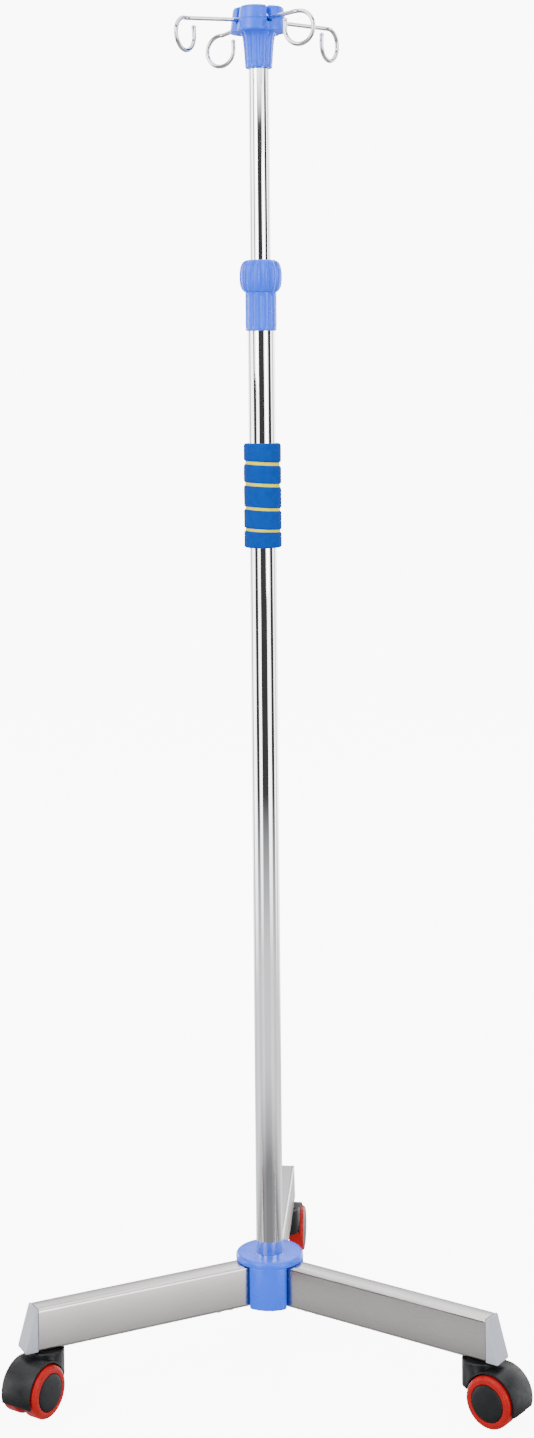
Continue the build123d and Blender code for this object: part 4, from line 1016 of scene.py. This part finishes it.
def joined(obj, *others):
    """Adds other objects' meshes to an object's own, and removes them."""
    work = bmesh.new()
    work.from_mesh(obj.data)
    for other in others:
        work.from_mesh(other.data)
    work.to_mesh(obj.data)
    work.free()
    for other in others:
        bpy.data.objects.remove(other)
    return obj


class STAND_OT_hub(bpy.types.Operator):
    """Builds the hub: three pillars between the legs under a round flange."""
    bl_idname = "stand.hub"
    bl_label = "Hub"

    def execute(self, context):
        low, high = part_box("hub")
        leg_low, leg_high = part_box("leg_tube_rear")
        half_slot = (leg_high.x - leg_low.x) / 2 + 0.3 * MM
        outer = 31.5 * MM
        flange_low = leg_high.z
        pieces = []
        inner_reach = 18.0 * MM
        edge_angle = math.asin(half_slot / outer)
        corner, steps = 4.0 * MM, 28
        for angle in LEGS.values():
            first = math.radians(angle) + edge_angle
            last = math.radians(angle + 120.0) - edge_angle
            bearings = [first + (last - first) * k / steps for k in range(steps + 1)]
            arc = [(outer * math.cos(bearing), outer * math.sin(bearing)) for bearing in bearings]
            arc[0] = (*arc[0], corner)
            arc[-1] = (*arc[-1], corner)
            # points beside the corners give way to the corners' rounding
            trimmed = [p for n, p in enumerate(arc) if n in (0, steps) or 4 <= n <= steps - 4]
            inner = []
            for side, turn in ((1, angle + 120.0), (-1, angle)):
                along, across = direction(turn), direction(turn + 90.0)
                inner.append(tuple((along * inner_reach - across * half_slot * side)[:2]))
            outline = rounded(trimmed + [inner[0], inner[1]], 8)
            pieces.append(make_object("part", *prism(outline, low.z, flange_low + 0.5 * MM)))
        pillars = pieces[0]
        joined(pillars, *pieces[1:])
        pillars.name = "hub_pillars"
        softened(pillars, 1.2, 4, 50)
        bore = 12.55 * MM
        top = high.z
        flange_out, brim = outer + 0.05 * MM, 3.2 * MM
        line = rounded([(bore, flange_low), (flange_out, flange_low, 1.0 * MM),
                        (flange_out, top, brim), (bore, top, 0.35 * MM)], 7)
        flange = make_object("hub_flange", *lathe(line, 144, True))
        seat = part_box("lower_tube")[0].z
        bolt_hole, washer_room, reach = 5.3 * MM, 11.0 * MM, inner_reach + 0.4 * MM
        core_line = [(bore, seat), (reach, seat), (reach, flange_low + 0.4 * MM),
                     (bore, flange_low + 0.4 * MM)]
        floor_line = rounded([(bolt_hole, seat - 6 * MM), (washer_room, seat - 6 * MM),
                              (washer_room, low.z + 0.2 * MM, 0.5 * MM), (reach, low.z + 0.2 * MM, 0.5 * MM),
                              (reach, seat + 0.1 * MM), (bolt_hole, seat + 0.1 * MM)], 4)
        core = make_object("hub_core", *lathe(core_line, 96, True))
        joined(core, make_object("part", *lathe(floor_line, 96, True)))
        for obj in (pillars, flange, core):
            hand_over(shaded(obj, 40), "blue_plastic", "base", "hub")
        return {"FINISHED"}


def leg_outline(width, height, corner, steps=8):
    """Rounded rectangle about the origin."""
    w, h = width / 2, height / 2
    return rounded([(-w, -h, corner), (w, -h, corner), (w, h, corner), (-w, h, corner)], steps)


class STAND_OT_legs(bpy.types.Operator):
    """Builds the leg tubes and their end caps."""
    bl_idname = "stand.legs"
    bl_label = "Legs and end caps"

    def execute(self, context):
        low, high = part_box("leg_tube_rear")
        width, height = high.x - low.x, high.z - low.z
        start, end = low.y, high.y
        middle = (low.z + high.z) / 2
        wall, corner, rim = 1.5 * MM, 3.0 * MM, 0.3 * MM
        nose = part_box("leg_end_cap_rear")[1].y - end
        for leg, angle in LEGS.items():
            out = direction(angle)
            side = direction(angle + 90.0)
            # local X across, Y up, Z outwards
            place = Matrix.Translation(UP * middle) @ Matrix((side, UP, out)).transposed().to_4x4()
            outer = leg_outline(width, height, corner)
            inner = leg_outline(width - 2 * wall, height - 2 * wall, corner - wall)
            count = len(outer)
            shrunk = leg_outline(width - 2 * rim, height - 2 * rim, corner - rim)
            rings = [(inner, start), (shrunk, start), (outer, start + rim)]
            rings += [(outer, start + (end - start) * k / 10) for k in range(1, 10)]
            rings += [(outer, end - rim), (shrunk, end), (inner, end)]
            verts = [(x, y, z) for ring, z in rings for x, y in ring]
            faces = []
            for r in range(len(rings)):
                for k in range(count):
                    a, b = r * count + k, r * count + (k + 1) % count
                    c, d = (r + 1) % len(rings) * count + k, (r + 1) % len(rings) * count + (k + 1) % count
                    faces.append([a, b, d, c])
            tube = make_object(f"leg_box_{leg}", verts, faces, place)
            uv = tube.data.uv_layers.new(name="along")
            inverse = place.inverted()
            for face in tube.data.polygons:
                sideways = abs((inverse.to_3x3() @ face.normal).x) > 0.7
                for index in face.loop_indices:
                    local = inverse @ tube.data.vertices[tube.data.loops[index].vertex_index].co
                    uv.data[index].uv = (local.z, local.y if sideways else local.x)
            hand_over(shaded(tube, 40), "satin_tube", "base", f"leg_tube_{leg}")

            # side view of the nose: x outwards, y up
            h = height / 2
            line = rounded([(0.15 * MM, -h + 0.1 * MM), (nose + 0.4 * MM, -h + 0.1 * MM, 2.0 * MM),
                            (2.6 * MM, h - 0.1 * MM, 1.6 * MM), (0.15 * MM, h - 0.1 * MM)], 6)
            cap_turn = Matrix((out, UP, -side)).transposed().to_4x4()
            cap_place = Matrix.Translation(out * end + UP * middle) @ cap_turn
            half = width / 2 - 0.05 * MM
            cap = make_object(f"leg_cap_{leg}", *prism(line, -half, half), cap_place)
            softened(cap, 1.5, 4, 60)
            hand_over(shaded(cap, 40), "grey_plastic", "base", f"leg_end_cap_{leg}")
        return {"FINISHED"}


class STAND_OT_casters(bpy.types.Operator):
    """Builds the hoods, tyres, wheel cores and hub caps of the casters."""
    bl_idname = "stand.casters"
    bl_label = "Casters"

    def execute(self, context):
        spokes = context.scene.stand_detail.wheel_spokes
        for leg in LEGS:
            hood = cad_copy(f"caster_hood_{leg}", f"hood_{leg}")
            softened(hood, 0.5, 2, 40)
            hand_over(shaded(hood, 32), "black_plastic", f"caster_{leg}", f"caster_hood_{leg}")
            for wheel in WHEELS:
                spin = joint(f"spin_{leg}_{wheel}")
                centre = Vector(spin["pos_m"])
                outward = Vector(spin["axis"]) * (1 if wheel == "a" else -1)
                place = frame_at(centre, UP, outward)
                body = f"wheel_{leg}_{wheel}"
                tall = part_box(f"tyre_{leg}_{wheel}")
                r = (tall[1].z - tall[0].z) / 2
                core_r, near, far = r - TYRE_DEEP, TYRE_NEAR, TYRE_FAR
                line = rounded([(core_r, near, 0.5 * MM), (r, near, 1.8 * MM), (r, far, 3.6 * MM),
                                (core_r + 0.1 * MM, far, 0.6 * MM)], 8)
                tyre = make_object(f"tread_{leg}_{wheel}", *lathe(refined(line, 1.6 * MM), 96, True), place)
                hand_over(shaded(tyre, 40), "red_tyre", body, f"tyre_{leg}_{wheel}")

                # the cap's edge is set into the tyre; its face is a shallow dome
                cap_out = far + CAP_STANDS_OUT
                line = [(0, far - CAP_SINKS), (core_r - 0.4 * MM, far - CAP_SINKS),
                        (core_r - 0.25 * MM, far - 0.5 * MM),
                        (core_r - 0.5 * MM, far - 0.1 * MM), (core_r - 1.2 * MM, far + 0.12 * MM),
                        *[(core_r * share, far + rise) for share, rise in CAP_DOME],
                        (core_r * 0.36, cap_out - 0.06 * MM), (core_r * 0.15, cap_out), (0, cap_out)]
                cap = make_object(f"wheel_cap_{leg}_{wheel}", *lathe(line, 96, False), place)
                hand_over(shaded(cap, 40), "black_plastic", body, f"hub_cap_{leg}_{wheel}")

                rim, back = core_r - RIM_DEEP, far - CORE_BACK
                line = rounded([(AXLE_BORE, BOSS_NEAR, 0.3 * MM), (BOSS_OUT, BOSS_NEAR, 0.6 * MM),
                                (7.2 * MM, WEB_FACE, 1 * MM), (rim - 0.4 * MM, WEB_FACE, 1 * MM),
                                (rim, RIM_NEAR, 0.4 * MM), (core_r, RIM_NEAR, 0.4 * MM),
                                (core_r, back), (AXLE_BORE, back)], 4)
                core = make_object(f"wheel_hub_{leg}_{wheel}", *lathe(line, 96, True), place)
                spoke = [(SPOKE_IN, -SPOKE_HALF), (rim, -SPOKE_HALF), (rim, SPOKE_HALF),
                         (SPOKE_IN, SPOKE_HALF)]
                rib = make_object("rib", *prism(spoke, SPOKE_NEAR, SPOKE_FAR), place)
                run_tree(rib, around_tree(), {
                    "Count": spokes, "Centre": tuple(centre), "Axis": tuple(outward),
                    "Material": finishes()["wheel_plastic"]})
                joined(core, rib)
                hand_over(shaded(core, 40), "wheel_plastic", body, f"wheel_core_{leg}_{wheel}")
        return {"FINISHED"}


class STAND_OT_plain_parts(bpy.types.Operator):
    """Gives every CAD node that still shows its finish."""
    bl_idname = "stand.plain_parts"
    bl_label = "Inner parts and fasteners"

    def execute(self, context):
        slots = {part["node"]: part["material_slot"] for part in frame["record"]["subparts"]}
        for node, obj in frame["nodes"].items():
            material = finishes()[slots[node]]
            if not obj.material_slots:
                obj.data.materials.append(material)
            for holder in obj.material_slots:
                holder.material = material
        return {"FINISHED"}


class STAND_OT_stage(bpy.types.Operator):
    """Lays the floor and sets the camera, the lights and the room."""
    bl_idname = "stand.stage"
    bl_label = "Stage"

    def execute(self, context):
        setting = context.scene.stand_stage
        floor = make_object("floor", *prism([(-9, -9), (9, -9), (9, 9), (-9, 9)], -0.02, 0.0))
        floor.data.materials.append(pale_floor())
        # the floor is only seen: the room below lights and mirrors in its place, like a white sweep
        floor.visible_diffuse = floor.visible_glossy = floor.visible_shadow = False

        camera = bpy.data.objects.new("camera", bpy.data.cameras.new("camera"))
        context.scene.collection.objects.link(camera)
        context.scene.camera = camera
        spot = Vector((math.sin(setting.azimuth), -math.cos(setting.azimuth), 0.0)) * setting.distance
        camera.matrix_world = (Matrix.Translation(spot + UP * setting.height)
                               @ Matrix.Rotation(setting.azimuth, 4, "Z")
                               @ Matrix.Rotation(math.pi / 2, 4, "X")
                               @ Matrix.Rotation(setting.roll, 4, "Z"))
        camera.data.lens = setting.lens
        camera.data.sensor_width = 36.0
        camera.data.shift_x, camera.data.shift_y = FRAME_SHIFT
        camera.data.dof.use_dof = False
        camera.data.clip_end = 100.0

        for name, power, size, place in LAMPS:
            lamp = bpy.data.lights.new(name, "AREA")
            lamp.energy = setting.key * power
            lamp.size = size
            obj = bpy.data.objects.new(name, lamp)
            context.scene.collection.objects.link(obj)
            aim = Vector(AIM) - Vector(place)
            obj.matrix_world = Matrix.Translation(place) @ aim.to_track_quat("-Z", "Y").to_matrix().to_4x4()

        world = bpy.data.worlds.new("studio")
        context.scene.world = world
        world.use_nodes = True
        tree = world.node_tree
        tree.nodes.clear()
        # Pale room. The dark gaps between its soft boxes mirror as dark bands along the tubes.
        where = add_node(tree, "ShaderNodeTexCoord").outputs["Generated"]
        axes = add_node(tree, "ShaderNodeSeparateXYZ", None, {0: where}).outputs
        around = add_node(tree, "ShaderNodeMath", {"operation": "ARCTAN2"},
                          {0: axes["X"], 1: axes["Y"]}).outputs[0]
        turn = add_node(tree, "ShaderNodeMath", {"operation": "DIVIDE"},
                        {0: around, 1: 2 * math.pi}).outputs[0]
        share = add_node(tree, "ShaderNodeMath", {"operation": "ADD"}, {0: turn, 1: 0.5}).outputs[0]
        gaps = grey_ramp(tree, share, room_bands(math.degrees(setting.azimuth)))
        # Low down the gaps give way to a grey floor, and high up to a pale ceiling.
        sunk = ranged(tree, axes["Z"], 0.94, 0.0, -0.34, -0.19)
        walls = add_node(tree, "ShaderNodeMixRGB", None, {0: sunk, 1: gaps, 2: FLOOR_GREY}).outputs[0]
        raised = ranged(tree, axes["Z"], 0.0, 1.0, 0.33, 0.38)
        walls = add_node(tree, "ShaderNodeMixRGB", None, {0: raised, 1: walls, 2: CEILING_PALE}).outputs[0]
        rings = grey_ramp(tree, ranged(tree, axes["Z"], 0.0, 1.0, -1.0, 1.0), ROOM_HEIGHTS)
        mirror = add_node(tree, "ShaderNodeMixRGB", {"blend_type": "MULTIPLY"},
                          {0: 1.0, 1: walls, 2: rings}).outputs[0]
        rays = add_node(tree, "ShaderNodeLightPath").outputs
        mirrored = add_node(tree, "ShaderNodeBackground", None,
                            {"Color": mirror, "Strength": setting.mirrored})
        room = add_node(tree, "ShaderNodeBackground", None, {"Strength": setting.room})
        backdrop = add_node(tree, "ShaderNodeBackground", None, {"Strength": setting.backdrop})
        for light in (room, backdrop):
            light.inputs["Color"].default_value = (1.0, 1.0, 1.0, 1.0)
        lit = add_node(tree, "ShaderNodeMixShader", None,
                       {0: rays["Is Glossy Ray"], 1: room.outputs[0], 2: mirrored.outputs[0]})
        seen = add_node(tree, "ShaderNodeMixShader", None,
                        {0: rays["Is Camera Ray"], 1: lit.outputs[0], 2: backdrop.outputs[0]})
        add_node(tree, "ShaderNodeOutputWorld", None, {"Surface": seen.outputs[0]})
        return {"FINISHED"}


def grey_ramp(tree, value, stops):
    """Greys by a value: each stop is (position, brightness), the first at 0 and the last at 1."""
    ramp = add_node(tree, "ShaderNodeValToRGB", None, {"Fac": value})
    elements = ramp.color_ramp.elements
    elements[0].color = (*[stops[0][1]] * 3, 1.0)
    elements[1].color = (*[stops[-1][1]] * 3, 1.0)
    for position, grey in stops[1:-1]:
        elements.new(position).color = (grey, grey, grey, 1.0)
    return ramp.outputs["Color"]


def room_bands(azimuth):
    """Brightness round the mirrored room, as (share of a turn from -Y's far side, value)."""
    stops = []
    for middle, half, dark in ROOM_GAPS:
        for offset, value in ((-half - GAP_BLUR, 1.0), (-half, dark), (half, dark), (half + GAP_BLUR, 1.0)):
            # the camera stands at -Y turned by the azimuth, which is 180 degrees in atan2(x, y)
            bearing = (180.0 - azimuth + middle + offset) % 360.0
            share = ((bearing + 180.0) % 360.0) / 360.0
            stops.append((share, value))
    stops.sort()
    return [(0.0, stops[0][1])] + stops + [(1.0, stops[-1][1])]


class STAND_PT_panel(bpy.types.Panel):
    """Buttons and settings of the stand in the sidebar."""
    bl_idname = "STAND_PT_panel"
    bl_label = "Infusion stand"
    bl_space_type = "VIEW_3D"
    bl_region_type = "UI"
    bl_category = "Stand"

    def draw(self, context):
        for operator in BUILD_ORDER:
            self.layout.operator(operator.bl_idname)
        for group in ("stand_colours", "stand_detail", "stand_stage"):
            box = self.layout.box()
            settings = getattr(context.scene, group)
            for name in settings.bl_rna.properties.keys():
                if name not in ("rna_type", "name"):
                    box.prop(settings, name)


BUILD_ORDER = (STAND_OT_plain_parts, STAND_OT_pole, STAND_OT_grip, STAND_OT_lock, STAND_OT_head,
               STAND_OT_hooks, STAND_OT_hub, STAND_OT_legs, STAND_OT_casters, STAND_OT_stage)
SETTINGS = {"stand_colours": StandColours, "stand_detail": StandDetail, "stand_stage": StandStage}


def register():
    for cls in (*SETTINGS.values(), *BUILD_ORDER, STAND_PT_panel):
        bpy.utils.register_class(cls)
    for name, cls in SETTINGS.items():
        setattr(bpy.types.Scene, name, bpy.props.PointerProperty(type=cls))


def unregister():
    for name in SETTINGS:
        delattr(bpy.types.Scene, name)
    for cls in reversed((*SETTINGS.values(), *BUILD_ORDER, STAND_PT_panel)):
        bpy.utils.unregister_class(cls)


def main():
    register()
    for cls in BUILD_ORDER:
        group, call = cls.bl_idname.split(".")
        getattr(getattr(bpy.ops, group), call)()
    bpy.context.view_layer.update()


if __name__ == "__main__":
    main()
